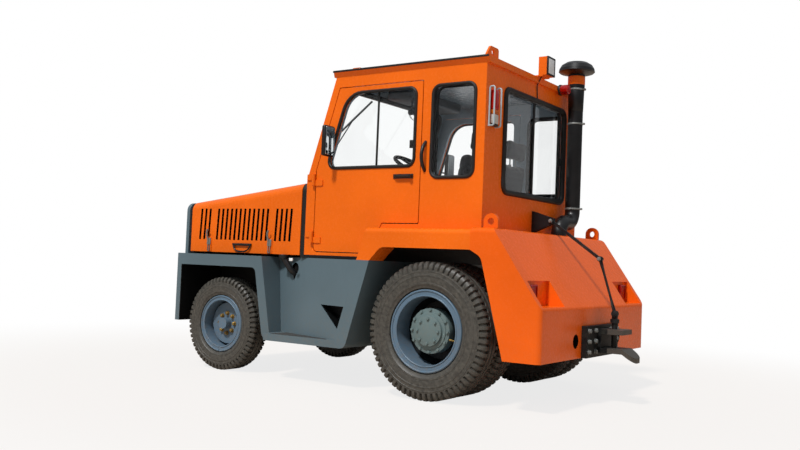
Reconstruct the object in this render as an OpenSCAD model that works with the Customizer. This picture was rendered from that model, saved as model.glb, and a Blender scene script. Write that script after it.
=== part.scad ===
// Airport tow tractor: cab over the rear axle, butterfly hood, twin rear wheels and a pin hitch.
// X runs forward from the rear axle, Y to the left, Z up from the ground.

/* [Overall] */
// width over the rear fenders
body_w = 2000; // [1800:10:2200]
// width of the cab and the hood
cab_w = 1640; // [1500:10:1760]
// width of the front plate
nose_w = 1800; // [1700:10:1900]
// rear axle to front axle
wheelbase = 2090; // [2000:10:2300]
// front axle to the front plate's face
nose_reach = 520; // [500:5:640]
// rear axle to the counterweight's rear face
tail_reach = 885; // [840:5:960]
// top of the front deck and the side panels
deck_z = 965; // [930:5:1010]
// top of the rear fenders
fender_z = 1205; // [1180:5:1260]
// top of the roof
roof_z = 2430; // [2300:10:2600]

/* [Frame] */
// width of one frame rail
rail_w = 100; // [70:5:130]
// height of a frame rail
rail_h = 180; // [120:10:220]
// underside of the rails
rail_z = 600; // [590:5:640]
// inner distance between the rails
rail_gap = 600; // [520:10:620]
// length of a cross member or post
member_l = 90; // [60:5:140]
// engine height
engine_h = 700; // [500:10:740]
// share of the engine bay that the engine takes
engine_share = 0.69; // [0.5:0.01:0.72]

/* [Front end] */
// thickness of the front plate
plate_t = 55; // [30:5:80]
// underside of the front plate
plate_z = 385; // [340:5:480]
// thickness of the grille panel
grille_t = 35; // [25:1:45]
// side gap of the grille opening
grille_edge = 110; // [80:5:160]
// grille bars
grille_bars = 9; // [5:1:12]
// headlamp radius
lamp_r = 75; // [50:5:85]
// front fender sheet
fender_t = 25; // [15:1:35]
// depth of the front fender skirt
skirt_h = 95; // [60:5:110]
// front axle to the fender leg's top
leg_back = 480; // [470:5:520]
// slant of the fender leg
leg_lean = 130; // [80:5:150]
// thickness of the fender leg
leg_t = 85; // [50:5:95]
// underside of the leg and the step
step_z = 305; // [260:5:340]

/* [Hood] */
// hood sheet
hood_t = 22; // [15:1:30]
// hood height at the cowl
hood_rear_z = 1564; // [1500:2:1590]
// hood height at the grille
hood_front_z = 1411; // [1330:2:1450]
// radius of the hood's long edges
hood_r = 70; // [40:5:110]
// gap from the cowl to the hood
hood_rear_gap = 47; // [30:1:70]
// gap from the hood to the grille
hood_front_gap = 32; // [28:1:50]
// gap from the deck to the hood
hood_sill_gap = 20; // [10:1:30]
// half width of the centre spine
spine_half = 30; // [20:1:50]
// hinge rod radius
rod_r = 7; // [5:0.5:9]
// hinge knuckle radius
knuckle_r = 11; // [10:0.5:14]
// width of a louvre slot
louvre_w = 24; // [16:1:28]
// height of the louvre slots
louvre_h = 265; // [200:5:290]
// distance between louvre slots
louvre_step = 51; // [44:1:55]

/* [Cab] */
// wall thickness of the cab
wall = 55; // [40:1:70]
// roof thickness
roof_t = 45; // [30:1:60]
// floor thickness
floor_t = 25; // [15:1:30]
// rear axle to the cab's rear wall
cab_back = 333; // [320:1:340]
// rear axle to the cowl's front
cowl_x = 1254; // [1220:2:1280]
// top of the cowl
cowl_z = 1581; // [1540:1:1620]
// front of the roof
roof_front_x = 985; // [940:5:1030]
// rear axle to the footwell's riser
riser_x = 526; // [500:2:550]
// running gap round the doors
door_gap = 7; // [6:0.5:10]
// pane thickness
glass_t = 6; // [4:1:10]
// radius of the window corners
pane_r = 60; // [40:5:80]
// door hinge pin radius
hinge_pin_r = 7; // [5:0.5:9]
// door hinge barrel radius
hinge_r = 15; // [12:0.5:18]
// length of one hinge barrel
hinge_l = 45; // [30:1:60]
// grab handle radius
grab_r = 13; // [10:1:18]

/* [Rear end] */
// joint between the fenders and the counterweight
seam_back = 348; // [342:1:360]
// underside of the wheel arch
arch_z = 1065; // [1040:5:1100]
// radius of the arch corners
arch_r = 80; // [50:5:110]
// underside of the counterweight
weight_z = 340; // [300:5:380]
// radius of the lifting eyes' holes
eye_hole_r = 24; // [18:1:30]
// outer radius of the lifting eyes
eye_r = 55; // [45:1:60]
// thickness of the lifting eyes
eye_t = 26; // [16:1:40]

/* [Hitch] */
// thickness of the hitch plate
hitch_t = 40; // [25:1:60]
// width of the hitch plate
hitch_w = 620; // [400:10:700]
// reach of the tongue behind the counterweight
tongue_reach = 305; // [290:5:340]
// hitch pin radius
pin_r = 20; // [15:1:24]
// width of the jaw
jaw_w = 200; // [150:5:260]
// open height of the jaw
jaw_gap = 100; // [80:5:120]
// thickness of a jaw plate
jaw_t = 35; // [25:1:45]
// centre of the jaw opening
jaw_z = 455; // [430:5:470]

/* [Wheels] */
// rear tyre radius
rear_r = 487; // [470:1:500]
// rear tyre width
rear_w = 232; // [210:1:240]
// outer rear tyre's centre from the middle
rear_y = 868; // [860:1:878]
// distance between twin tyres
twin_step = 276; // [262:1:290]
// rear rim flange radius
rear_flange_r = 293; // [280:1:300]
// rear rim width over the flanges
rear_rim_w = 190; // [170:1:200]
// front tyre radius
front_r = 388; // [370:1:395]
// front tyre width
front_tyre_w = 198; // [180:1:206]
// front tyre's centre from the middle
front_y = 780; // [770:1:790]
// front rim flange radius
front_flange_r = 235; // [225:1:240]
// front rim width over the flanges
front_rim_w = 160; // [140:1:170]
// kingpin from the middle
king_y = 600; // [580:1:610]
// kingpin radius
king_r = 20; // [15:1:24]

/* [Fittings] */
// intake pipe radius
pipe_r = 60; // [45:1:65]
// intake cap radius
cap_r = 146; // [120:1:160]
// rise of the intake cap above the roof
cap_rise = 230; // [200:5:290]

/* [Hidden] */
// stations along the tractor
front_x = wheelbase + nose_reach;
plate_x = front_x - plate_t;
tail_x = -tail_reach;
seam_x = -seam_back;
cab_rear_x = -cab_back;
tip_x = tail_x - tongue_reach;
middle_x = (front_x + tip_x) / 2;
// half widths
half_w = body_w / 2;
cab_half = cab_w / 2;
cab_in = cab_half - wall;
nose_half = nose_w / 2;
fender_half = nose_half + fender_t;
rail_in = rail_gap / 2;
rail_out = rail_in + rail_w;
// running clearances, overrun of cuts and smoothness
fit_gap = 0.05;
seat_gap = 0.3;
play = 3;
over = 40;
arc_steps = 6;
round_fn = 64;
tyre_fn = 48;
$fn = round_fn;

// paints
orange = [0.92, 0.36, 0.08];
grey = [0.38, 0.46, 0.49];
rim_blue = [0.36, 0.45, 0.55];
black = [0.06, 0.06, 0.06];
steel = [0.42, 0.41, 0.39];
pane = [0.55, 0.65, 0.68, 0.4];
red = [0.7, 0.06, 0.04];

// outline helpers: corners rounded one by one, and outlines grown by an even border
function unit(v) = v / norm(v);
function turn(a) = a > 180 ? a - 360 : (a < -180 ? a + 360 : a);
function angle_of(v) = atan2(v[1], v[0]);
function corner(a, b, c, r) = r <= 0 ? [b] :
    let (
        u = unit(a - b),
        v = unit(c - b),
        half = acos(u * v) / 2,
        mid = b + unit(u + v) * r / sin(half),
        from = angle_of(b + u * r / tan(half) - mid),
        sweep = turn(angle_of(b + v * r / tan(half) - mid) - from)
    )
    [for (i = [0 : arc_steps]) let (a = from + sweep * i / arc_steps) mid + r * [cos(a), sin(a)]];
function pick(r, i) = is_list(r) ? r[i] : r;
function rounded(p, r) = let (n = len(p))
    [for (i = [0 : n - 1]) each corner(p[(i + n - 1) % n], p[i], p[(i + 1) % n], pick(r, i))];
function right_of(v) = [v[1], -v[0]];
function grown(p, d) = let (n = len(p))
    [for (i = [0 : n - 1])
        let (
            before = right_of(unit(p[i] - p[(i + n - 1) % n])),
            after = right_of(unit(p[(i + 1) % n] - p[i]))
        )
        p[i] + (before + after) * d / (1 + before * after)];
function frame_of(x0, z0, x1, z1) = [[x0, z0], [x1, z0], [x1, z1], [x0, z1]];
// point between two others at height z
function at_z(a, b, z) = a + (b - a) * (z - a[1]) / (b[1] - a[1]);

// extrusions of a side outline over Y, of a cross section over X and of a plan over Z
module along_y(y0, y1) translate([0, y1, 0]) rotate([90, 0, 0]) linear_extrude(y1 - y0) children();
module along_x(x0, x1) translate([x0, 0, 0]) rotate([90, 0, 90]) linear_extrude(x1 - x0) children();
module along_z(z0, z1) translate([0, 0, z0]) linear_extrude(z1 - z0) children();
module block(low, high) translate(low) cube(high - low);
module bar_y(y0, y1, r) translate([0, y0, 0]) rotate([-90, 0, 0]) cylinder(h = y1 - y0, r = r);
module mirrored() mirror([0, 1, 0]) children();
module both() {
    children();
    mirrored() children();
}
module place() translate([-middle_x, 0, 0]) children();

// frame: two rails, cross members and the posts that carry the cab
rear_post = 250;
mid_post = 600;
post_back = 150;
post_x = [-rear_post, mid_post, cowl_x - post_back];
rail_top = rail_z + rail_h;
rail_tail = 280;
rail_rear = tail_x + rail_tail;
module chassis_frame() color(black) {
    both() block([rail_rear, rail_in, rail_z], [plate_x, rail_out, rail_top]);
    for (x = [post_x[0], post_x[1], plate_x - member_l])
        block([x, -rail_in, rail_z], [x + member_l, rail_in, rail_top]);
    both() block([post_x[0], rail_in, rail_z], [post_x[0] + member_l, rail_out, fender_z - floor_t]);
    both() for (x = [post_x[1], post_x[2]])
        block([x, rail_in, rail_z], [x + member_l, rail_out, deck_z]);
}

// engine: one plain block between the rails
engine_l = (plate_x - cowl_x) * engine_share;
engine_x = cowl_x + engine_l / 6;
sump_h = 40;
engine_z = rail_z - sump_h;
module engine_block() color(steel) block([engine_x, -rail_in, engine_z],
    [engine_x + engine_l, rail_in, engine_z + engine_h]);

// front axle beam with the kingpins
beam_h = 90;
beam_w = 80;
king_boss_r = 42;
king_h = 105;
module front_axle() color(black) translate([wheelbase, 0, front_r]) {
    difference() {
        block([-beam_w / 2, -king_y, -beam_h / 2], [beam_w / 2, king_y, beam_h / 2]);
        both() translate([0, king_y, -over]) cylinder(h = beam_h, r = king_r);
    }
    both() translate([0, king_y, -beam_h / 2]) cylinder(h = beam_h, r = king_boss_r);
    both() translate([0, king_y, -king_h]) cylinder(h = 2 * king_h, r = king_r);
    both() block([-beam_w / 2, rail_in, beam_h / 2], [beam_w / 2, rail_out, rail_z - front_r]);
}

// rear axle with its differential and the spring seats
tube_r = 85;
drum_r = 190;
axle_r = 45;
hub_in = 560;
hub_end = 790;
module rear_axle() color(black) translate([0, 0, rear_r]) {
    bar_y(-hub_in + play, hub_in - play, tube_r);
    bar_y(-hub_end, hub_end, axle_r);
    sphere(r = drum_r);
    both() block([-tube_r, rail_in, 0], [tube_r, rail_out, rail_z - rear_r]);
}

// front plate: a thick grey slab across the nose
module front_plate() color(grey) block([plate_x, -nose_half, plate_z], [front_x, nose_half, deck_z]);

// hood lines, leaning forward and down from the cowl to the grille
hood_rear_x = cowl_x + hood_rear_gap;
grille_x = front_x - grille_t;
hood_front_x = grille_x - hood_front_gap;
hood_z = deck_z + hood_sill_gap;
hood_tilt = atan((hood_rear_z - hood_front_z) / (hood_front_x - hood_rear_x));
function hood_top(x) = hood_rear_z - (x - hood_rear_x) * tan(hood_tilt);

// cross section of the hood over its whole width at height z
function hood_section(z, inset) = rounded([[-cab_half + inset, deck_z], [cab_half - inset, deck_z],
    [cab_half - inset, z - inset], [-cab_half + inset, z - inset]], [0, 0, hood_r, hood_r]);

// grille panel: upright frame at the hood's front with bars, open behind
grille_foot = 90;
grille_z = deck_z + grille_foot;
grille_head = 130;
grille_top = hood_front_z - grille_head;
grille_half = cab_half - 2 * grille_edge - 2 * lamp_r;
grille_bar = 14;
module grille_panel() color(grey) {
    difference() {
        along_x(grille_x, front_x) polygon(hood_section(hood_top(grille_x), 0));
        block([grille_x - over, -grille_half, grille_z], [front_x + over, grille_half, grille_top]);
        both() translate([grille_x - over, grille_half + grille_edge + lamp_r, (grille_z + grille_top) / 2])
            rotate([0, 90, 0]) cylinder(h = grille_t + 2 * over, r = lamp_r);
    }
    for (i = [1 : grille_bars])
        translate([grille_x, -grille_half, grille_z + (grille_top - grille_z) * i / (grille_bars + 1)])
            cube([grille_t / 2, 2 * grille_half, grille_bar]);
}

// headlamps in the grille panel
module headlamps() color(pane) both()
    translate([grille_x, grille_half + grille_edge + lamp_r, (grille_z + grille_top) / 2])
        rotate([0, 90, 0]) cylinder(h = grille_t, r = lamp_r);

// front fender: deck, skirt, wheelhouse wall and the slanted leg behind the wheel
leg_x = wheelbase - leg_back;
skirt_z = deck_z - skirt_h;
leg_foot_x = leg_x - leg_lean;
leg_outline = [[leg_x, deck_z], [leg_foot_x, step_z], [leg_foot_x + leg_t, step_z], [leg_x + leg_t, deck_z]];
leg_r = 60;
skirt_r = 45;
arch_x = leg_x + leg_t - leg_lean * skirt_h / (deck_z - step_z);
skirt_outline = [[leg_x, deck_z], [leg_foot_x, step_z], [leg_foot_x + leg_t, step_z], [arch_x, skirt_z],
    [plate_x, skirt_z], [plate_x, deck_z]];
module front_fenders() color(grey) both() {
    block([leg_x + leg_t / 2, rail_out, deck_z - fender_t], [plate_x, fender_half, deck_z]);
    along_y(nose_half, fender_half) polygon(rounded(skirt_outline, [0, 0, leg_r, skirt_r, 0, 0]));
    block([leg_x + leg_t / 2, rail_out, rail_z], [plate_x, rail_out + fender_t, deck_z]);
    along_y(rail_out, fender_half) polygon(rounded(leg_outline, [0, 0, leg_r, 0]));
}

// side panels: tanks with a slanted rear edge, folded in ahead of it to leave a step
panel_back = 40;
panel_x = riser_x - panel_back;
panel_lean = 194;
fold_band = 120;
fold_top_x = panel_x + fold_band;
fold_foot = 78;
fold_foot_x = panel_x + panel_lean + fold_foot;
fold_in = 17;
step_h = 55;
step_top = step_z + step_h;
panel_r = 60;
panel_outline = [[panel_x, deck_z], [panel_x + panel_lean, step_z], [leg_foot_x, step_z], [leg_x, deck_z]];
fold_tilt = atan((fold_foot_x - fold_top_x) / (deck_z - step_top));
toe_rise = 84;
toe_z = step_top + toe_rise;
toe_h = 170;
toe_w = 285;
toe_d = 160;
toe_back = 55;
toe_outline = [[fold_foot_x, toe_z], [fold_foot_x - toe_back + toe_w, toe_z + toe_h],
    [fold_foot_x - toe_back, toe_z + toe_h]];
filler_back = 238;
filler_x = leg_x - filler_back;
filler_drop = 90;
filler_z = deck_z - filler_drop;
filler_r = 48;
filler_d = 110;
filler_y = half_w - (filler_x - fold_foot_x) * tan(fold_in) - filler_d;
cap_stub_r = 32;
module side_panels() color(grey) both() {
    difference() {
        along_y(rail_out, half_w) polygon(rounded(panel_outline, [0, panel_r, 0, 0]));
        intersection() {
            translate([fold_foot_x, half_w, step_top]) rotate([0, -fold_tilt, 0]) rotate([0, 0, -fold_in])
                block([0, 0, -body_w], [body_w, body_w, body_w]);
            block([0, rail_out, step_top], [front_x, body_w, deck_z + over]);
        }
        along_y(half_w - toe_d, half_w + over) polygon(toe_outline);
        along_y(filler_y, half_w) union() {
            translate([filler_x, filler_z]) circle(r = filler_r);
            polygon([[filler_x - filler_r, filler_z], [filler_x, filler_z - 2 * filler_r],
                [filler_x + filler_r, filler_z]]);
        }
    }
    translate([filler_x, 0, filler_z]) bar_y(filler_y - play, filler_y + filler_r, cap_stub_r);
}

// rear fender: top, outer skirt and a front foot on the side panel
fender_lean = 76;
fender_foot_x = riser_x + fender_lean;
skin = 30;
arch_lean = 95;
fender_outline = [[seam_x, arch_z], [panel_x - arch_lean, arch_z], [panel_x, deck_z], [fender_foot_x, deck_z],
    [riser_x, fender_z], [seam_x, fender_z]];
fender_edge = 35;
module soft_top(z) intersection() {
    children();
    along_x(tail_x, front_x)
        polygon(rounded(frame_of(-half_w, 0, half_w, z), [0, 0, fender_edge, fender_edge]));
}
module rear_fenders() color(orange) both() difference() {
    soft_top(fender_z) along_y(cab_half, half_w) polygon(rounded(fender_outline, [0, arch_r, 0, 0, 0, 0]));
    block([seam_x - over, cab_half - over, deck_z], [panel_x - arch_lean, half_w - skin, fender_z - floor_t]);
}

// counterweight: a full-width casting behind the wheels with lamp pockets and two lifting eyes
arch_back = 86;
arch_back_x = seam_x - arch_back;
weight_foot = 264;
weight_foot_x = tail_x + weight_foot;
weight_rise = 12;
weight_top = fender_z + weight_rise;
brow_l = 366;
brow_x = tail_x + brow_l;
brow_z = 692;
weight_edge = 40;
arch_drop = 46;
weight_outline = [[weight_foot_x, weight_z], [arch_back_x, arch_z - arch_drop], [seam_x, arch_z],
    [seam_x, weight_top],
    [brow_x, weight_top], [tail_x, brow_z], [tail_x, weight_z]];
pocket_half = 175;
pocket_h = 170;
pocket_y = 775;
pocket_foot = 12;
pocket_z = brow_z + pocket_foot;
pocket_top = pocket_z + pocket_h;
pocket_d = 20;
slope = atan((brow_x - tail_x) / (weight_top - brow_z));
function slope_x(z) = tail_x + (z - brow_z) * tan(slope);
pocket_x = slope_x(pocket_top) + pocket_d;
eye_back = 110;
eye_x = seam_x - eye_back;
eye_y = 905;
eye_rise = 45;
eye_z = weight_top + eye_rise;
socket_out = 100;
socket_rise = 120;
socket_r = 50;
module counterweight() color(orange) {
    difference() {
        soft_top(weight_top) intersection() {
            along_y(-half_w, half_w)
                polygon(rounded(weight_outline, [0, arch_r, 0, 0, weight_edge, weight_edge, 0]));
            along_z(0, roof_z) polygon(rounded(
                [[tail_x, -half_w], [0, -half_w], [0, half_w], [tail_x, half_w]],
                [weight_edge, 0, 0, weight_edge]));
        }
        both() block([rail_rear, rail_in, rail_z], [0, rail_out, rail_top]);
        both() block([tail_x - over, pocket_y - pocket_half, pocket_z],
            [pocket_x, pocket_y + pocket_half, pocket_top]);
        both() translate([tail_x - over, hitch_w / 2 + socket_out, weight_z + socket_rise])
            rotate([0, 90, 0]) cylinder(h = 2 * over, r = socket_r);
    }
    both() difference() {
        along_y(eye_y - eye_t / 2, eye_y + eye_t / 2) union() {
            translate([eye_x, eye_z]) circle(r = eye_r);
            translate([eye_x - eye_r, weight_top]) square([2 * eye_r, eye_z - weight_top]);
        }
        translate([eye_x, 0, eye_z]) bar_y(eye_y - eye_t, eye_y + eye_t, eye_hole_r);
    }
}

// rear lamps: two in the counterweight's pockets and a guarded stack on each cab corner
tail_lamp_w = 110;
tail_lamp_h = 290;
tail_lamp_d = 60;
tail_lamp_z = 1960;
lens_t = 25;
lens_half = 60;
lens_out = 75;
lens_y = pocket_y + lens_out;
tail_lamp_in = 40;
module rear_lamps() color(red) both() {
    block([pocket_x - lens_t, lens_y - lens_half, pocket_z + lens_t],
        [pocket_x, lens_y + lens_half, pocket_top - lens_t]);
    block([cab_rear_x - tail_lamp_d, cab_half - tail_lamp_in - tail_lamp_w, tail_lamp_z],
        [cab_rear_x, cab_half - tail_lamp_in, tail_lamp_z + tail_lamp_h]);
}

// hitch: bolted plate, two jaw plates and a drooping tongue
jaw_top = jaw_z + jaw_gap / 2;
jaw_low = jaw_z - jaw_gap / 2;
jaw_x = tail_x - hitch_t;
pin_reach = 125;
pin_x = tail_x - pin_reach;
jaw_lip = 95;
jaw_end = pin_x - jaw_lip;
droop = 60;
throat = 60;
throat_x = pin_x + throat;
hitch_rise = 25;
tongue_r = 75;
module tongue_plan() intersection() {
    children();
    along_z(0, roof_z)
        polygon(rounded(frame_of(tip_x, -jaw_w / 2, tail_x, jaw_w / 2), [tongue_r, 0, 0, tongue_r]));
}
module hitch_jaw() color(black) difference() {
    union() {
        block([jaw_x, -hitch_w / 2, weight_z], [tail_x, hitch_w / 2, jaw_top + jaw_t + hitch_rise]);
        tongue_plan() along_y(-jaw_w / 2, jaw_w / 2) polygon([
            [jaw_x, jaw_low - jaw_t], [jaw_x, jaw_top + jaw_t],
            [jaw_end, jaw_top + jaw_t], [jaw_end, jaw_top], [throat_x, jaw_top], [throat_x, jaw_low],
            [jaw_end, jaw_low], [tip_x, jaw_low - droop], [tip_x, jaw_low - droop - jaw_t],
            [jaw_end, jaw_low - jaw_t]]);
    }
    translate([pin_x, 0, weight_z - over]) cylinder(h = jaw_top + jaw_t + over, r = pin_r + fit_gap);
}

// cab floor: footwell ahead of a raised seat platform
platform = fender_z - floor_t;
module cab_floor() color(grey) along_y(-cab_half, cab_half) polygon([[seam_x, platform],
    [riser_x - floor_t, platform], [riser_x - floor_t, deck_z], [cowl_x, deck_z], [cowl_x, deck_z + floor_t],
    [riser_x, deck_z + floor_t], [riser_x, fender_z], [seam_x, fender_z]]);

// cab outlines seen from the side
wall_top = roof_z - roof_t;
screen_foot = [cowl_x, cowl_z];
screen_set = 14;
screen_top = [roof_front_x + screen_set, wall_top];
sill_z = deck_z + floor_t;
side_outline = [[cab_rear_x, fender_z], [riser_x, fender_z], [riser_x, sill_z], [cowl_x, sill_z],
    screen_foot, screen_top, [cab_rear_x, wall_top]];
pillar_w = 93;
door_front = cowl_x - pillar_w;
corner_w = 525;
door_rear = cab_rear_x + corner_w;
header_h = 90;
door_head = wall_top - header_h;
kink_rise = 76;
door_kink = [door_front, cowl_z + kink_rise];
lip_h = 45;
door_lip = fender_z + lip_h;
sill_h = 30;
door_sill = sill_z + sill_h;
lip_back = 10;
sill_gap = 22;
door_outline = [[door_rear, door_lip], [riser_x - lip_back, door_lip], [fender_foot_x + sill_gap, door_sill],
    [door_front, door_sill], door_kink, at_z(door_kink, door_kink + screen_top - screen_foot, door_head),
    [door_rear, door_head]];
door_r = 12;
foot_r = 40;
door_radii = [door_r, door_r, foot_r, foot_r, 0, door_r, door_r];
rail_top_h = 45;
pane_head = door_head - rail_top_h;
belt_h = 90;
pane_sill = cowl_z + belt_h;
stile_w = 100;
pane_low = [door_front - stile_w, pane_sill];
rear_stile = 55;
door_pane = [[door_rear + rear_stile, pane_sill], pane_low,
    at_z(pane_low, pane_low + screen_top - screen_foot, pane_head), [door_rear + rear_stile, pane_head]];
door_pane_radii = [pane_r, pane_r, 3 * pane_r, pane_r];
quarter_in = 82;
post_w = 92;
quarter_pane = frame_of(cab_rear_x + quarter_in, cowl_z, door_rear - post_w, pane_head);

// door hinges on the outside at the front edge
hinge_x = door_front + hinge_r;
hinge_y = cab_half + hinge_r;
hinge_rise = 140;
hinge_zs = [sill_z + hinge_rise, cowl_z];
strap_l = 85;
strap_t = 9;
pillar_strap = 70;
module cab_sides() color(orange) both() {
    along_y(cab_in, cab_half) difference() {
        polygon(side_outline);
        polygon(rounded(grown(door_outline, door_gap), door_radii));
        polygon(rounded(quarter_pane, pane_r));
    }
    for (z = hinge_zs) translate([hinge_x, 0, z]) {
        translate([0, hinge_y, 0]) cylinder(h = hinge_l, r = hinge_r);
        translate([0, hinge_y, -hinge_l]) cylinder(h = 2 * hinge_l, r = hinge_pin_r);
        block([0, cab_half, 0], [pillar_strap, cab_half + strap_t, hinge_l]);
    }
}

// door: leaf with its window opening and hinge straps
module door_left() color(orange) {
    difference() {
        along_y(cab_in, cab_half) polygon(rounded(door_outline, door_radii));
        along_y(cab_in - over, cab_half + over) polygon(rounded(door_pane, door_pane_radii));
    }
    for (z = hinge_zs) translate([hinge_x, 0, z - hinge_l]) difference() {
        union() {
            translate([0, hinge_y, 0]) cylinder(h = hinge_l - fit_gap, r = hinge_r);
            block([-strap_l, cab_half, 0], [0, cab_half + strap_t, hinge_l - fit_gap]);
        }
        translate([0, hinge_y, -over]) cylinder(h = hinge_l + 2 * over, r = hinge_pin_r + fit_gap);
    }
}
module door_right() mirrored() door_left();
pane_y = cab_half - wall / 2;
module door_glass_left() color(pane) along_y(pane_y - glass_t, pane_y)
    polygon(rounded(door_pane, door_pane_radii));
module door_glass_right() mirrored() door_glass_left();

// rear wall with its wide window
rear_pane_half = cab_in - 235;
rear_drop = 81;
rear_pane = frame_of(-rear_pane_half, cowl_z - rear_drop, rear_pane_half, pane_head);
module cab_rear() color(orange) along_x(cab_rear_x, cab_rear_x + wall) difference() {
    polygon(frame_of(-cab_in, fender_z, cab_in, wall_top));
    polygon(rounded(rear_pane, pane_r));
}

// cowl and windscreen frame
screen_tilt = atan((screen_foot[0] - screen_top[0]) / (screen_top[1] - screen_foot[1]));
screen_l = norm(screen_top - screen_foot);
screen_edge = 70;
screen_pane = frame_of(-cab_in + screen_edge, screen_edge, cab_in - screen_edge, screen_l - screen_edge);
front_outline = [[cowl_x - wall, sill_z], [cowl_x, sill_z], screen_foot, screen_top,
    screen_top - [wall, 0], screen_foot - [wall, 0]];
module on_screen() translate([screen_foot[0], 0, screen_foot[1]]) rotate([0, -screen_tilt, 0]) children();
module cab_front() color(orange) difference() {
    along_y(-cab_in, cab_in) polygon(front_outline);
    on_screen() along_x(-wall - over, over) polygon(rounded(screen_pane, pane_r));
}

// fixed panes: windscreen, rear window and the two quarter windows
module cab_glass() color(pane) {
    on_screen() along_x(-wall / 2 - glass_t, -wall / 2) polygon(rounded(screen_pane, pane_r));
    along_x(cab_rear_x + wall / 2, cab_rear_x + wall / 2 + glass_t) polygon(rounded(rear_pane, pane_r));
    both() along_y(pane_y - glass_t, pane_y) polygon(rounded(quarter_pane, pane_r));
}

// roof slab with a small overhang and two lugs at the rear corners
lug_in = 655;
lug_out = 825;
lug_h = 80;
lug_t = 16;
lug_foot = 15;
lug_taper = 50;
lug_r = 20;
lug_hole_r = 20;
lug_top = roof_z + lug_h;
eave = 24;
sheet_t = 12;
eave_half = cab_half + eave;
module cab_roof() color(orange) {
    intersection() {
        along_y(-eave_half, eave_half) polygon(rounded([[cab_rear_x - eave, wall_top],
            [screen_top[0] + eave, wall_top], [roof_front_x + eave, roof_z], [cab_rear_x - eave, roof_z]],
            [0, 0, sheet_t, 0]));
        along_x(cab_rear_x - eave, front_x) polygon([[-cab_half, wall_top], [cab_half, wall_top],
            [eave_half, roof_z - sheet_t], [eave_half, roof_z], [-eave_half, roof_z],
            [-eave_half, roof_z - sheet_t]]);
    }
    both() difference() {
        along_x(cab_rear_x, cab_rear_x + lug_t) polygon(rounded([[lug_in, roof_z], [lug_out, roof_z],
            [lug_out, roof_z + lug_foot], [lug_out - lug_taper, lug_top], [lug_in, lug_top]],
            [0, 0, 0, lug_r, lug_r]));
        translate([cab_rear_x - over, (lug_in + lug_out) / 2, roof_z + lug_h / 2]) rotate([0, 90, 0])
            cylinder(h = 2 * over + lug_t, r = lug_hole_r);
    }
}

// driver's and passenger's seats, each on its box
seat_back = 270;
seat_x = cab_rear_x + wall + seat_back;
seat_y = 270;
seat_w = 480;
seat_box = 90;
seat_sink = 30;
seat_r = 40;
seat_back_t = 160;
seat_h = 230;
seat_top = fender_z + seat_h;
seat_l = 510;
back_h = 560;
cushion_l = 390;
seat_shares = [[0.12, 0], [0.88, 0], [0.94, 1]];
module seat() color(black) translate([seat_x, seat_y, 0]) along_y(-seat_w / 2, seat_w / 2)
    polygon(rounded(concat([for (p = seat_shares) [p[0] * seat_l, fender_z + p[1] * seat_box]],
        [[seat_l, seat_top], [seat_l - cushion_l, seat_top - seat_sink], [seat_sink, seat_top + back_h],
        [-seat_back_t / 2, seat_top + back_h], [seat_sink, fender_z + seat_box]]),
        [0, 0, 0, seat_r, seat_r, seat_r, seat_r, 0]));
module passenger_seat() mirrored() seat();

// dashboard across the cowl
dash_l = 190;
dash_h = 180;
dash_z = cowl_z - dash_h;
module dashboard() color(black) block([cowl_x - wall - dash_l, -cab_in, dash_z],
    [cowl_x - wall, cab_in, cowl_z]);

// steering wheel on its column
wheel_fore = 40;
wheel_x = riser_x + wheel_fore;
wheel_rise = 130;
wheel_z = cowl_z + wheel_rise;
wheel_r = 205;
wheel_tube = 15;
column_r = 28;
column_tilt = 30;
column_l = (wheel_z - sill_z) / cos(column_tilt);
module steering_wheel() color(black) difference() {
    translate([wheel_x, seat_y, wheel_z]) rotate([0, -column_tilt, 0]) {
        rotate_extrude() translate([wheel_r, 0]) circle(r = wheel_tube);
        for (a = [0, 120, 240]) rotate([0, 0, a]) block([0, -wheel_tube, -wheel_tube / 2],
            [wheel_r, wheel_tube, wheel_tube / 2]);
        translate([0, 0, -column_l - over]) cylinder(h = column_l + over, r = column_r);
    }
    block([0, -cab_half, 0], [front_x, cab_half, sill_z]);
}

// hood spine with the two hinge rods
rod_gap = 15.5;
leaf_y = spine_half + 2 * rod_gap;
rod_y = spine_half + rod_gap;
hood_l = (hood_front_x - hood_rear_x) / cos(hood_tilt);
knuckle_l = 90;
knuckle_shares = [0.12, 0.5, 0.88];
lug_shares = [0.02, 0.3, 0.7, 0.98];
lug_l = 40;
module on_hood() translate([hood_rear_x, 0, hood_rear_z]) rotate([0, hood_tilt, 0]) children();
module hood_spine() color(black) intersection() {
    on_hood() {
        block([-over - hood_rear_gap, -spine_half, -hood_t], [hood_l + hood_front_gap + over, spine_half, 0]);
        both() translate([0, rod_y, -hood_t / 2]) {
            rotate([0, 90, 0]) cylinder(h = hood_l, r = rod_r);
            for (s = lug_shares) block([s * hood_l - lug_l / 2, -rod_y + spine_half - play, -hood_t / 2],
                [s * hood_l + lug_l / 2, rod_r, hood_t / 2]);
        }
    }
    block([cowl_x, -cab_half, deck_z], [grille_x, cab_half, roof_z]);
}

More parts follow.
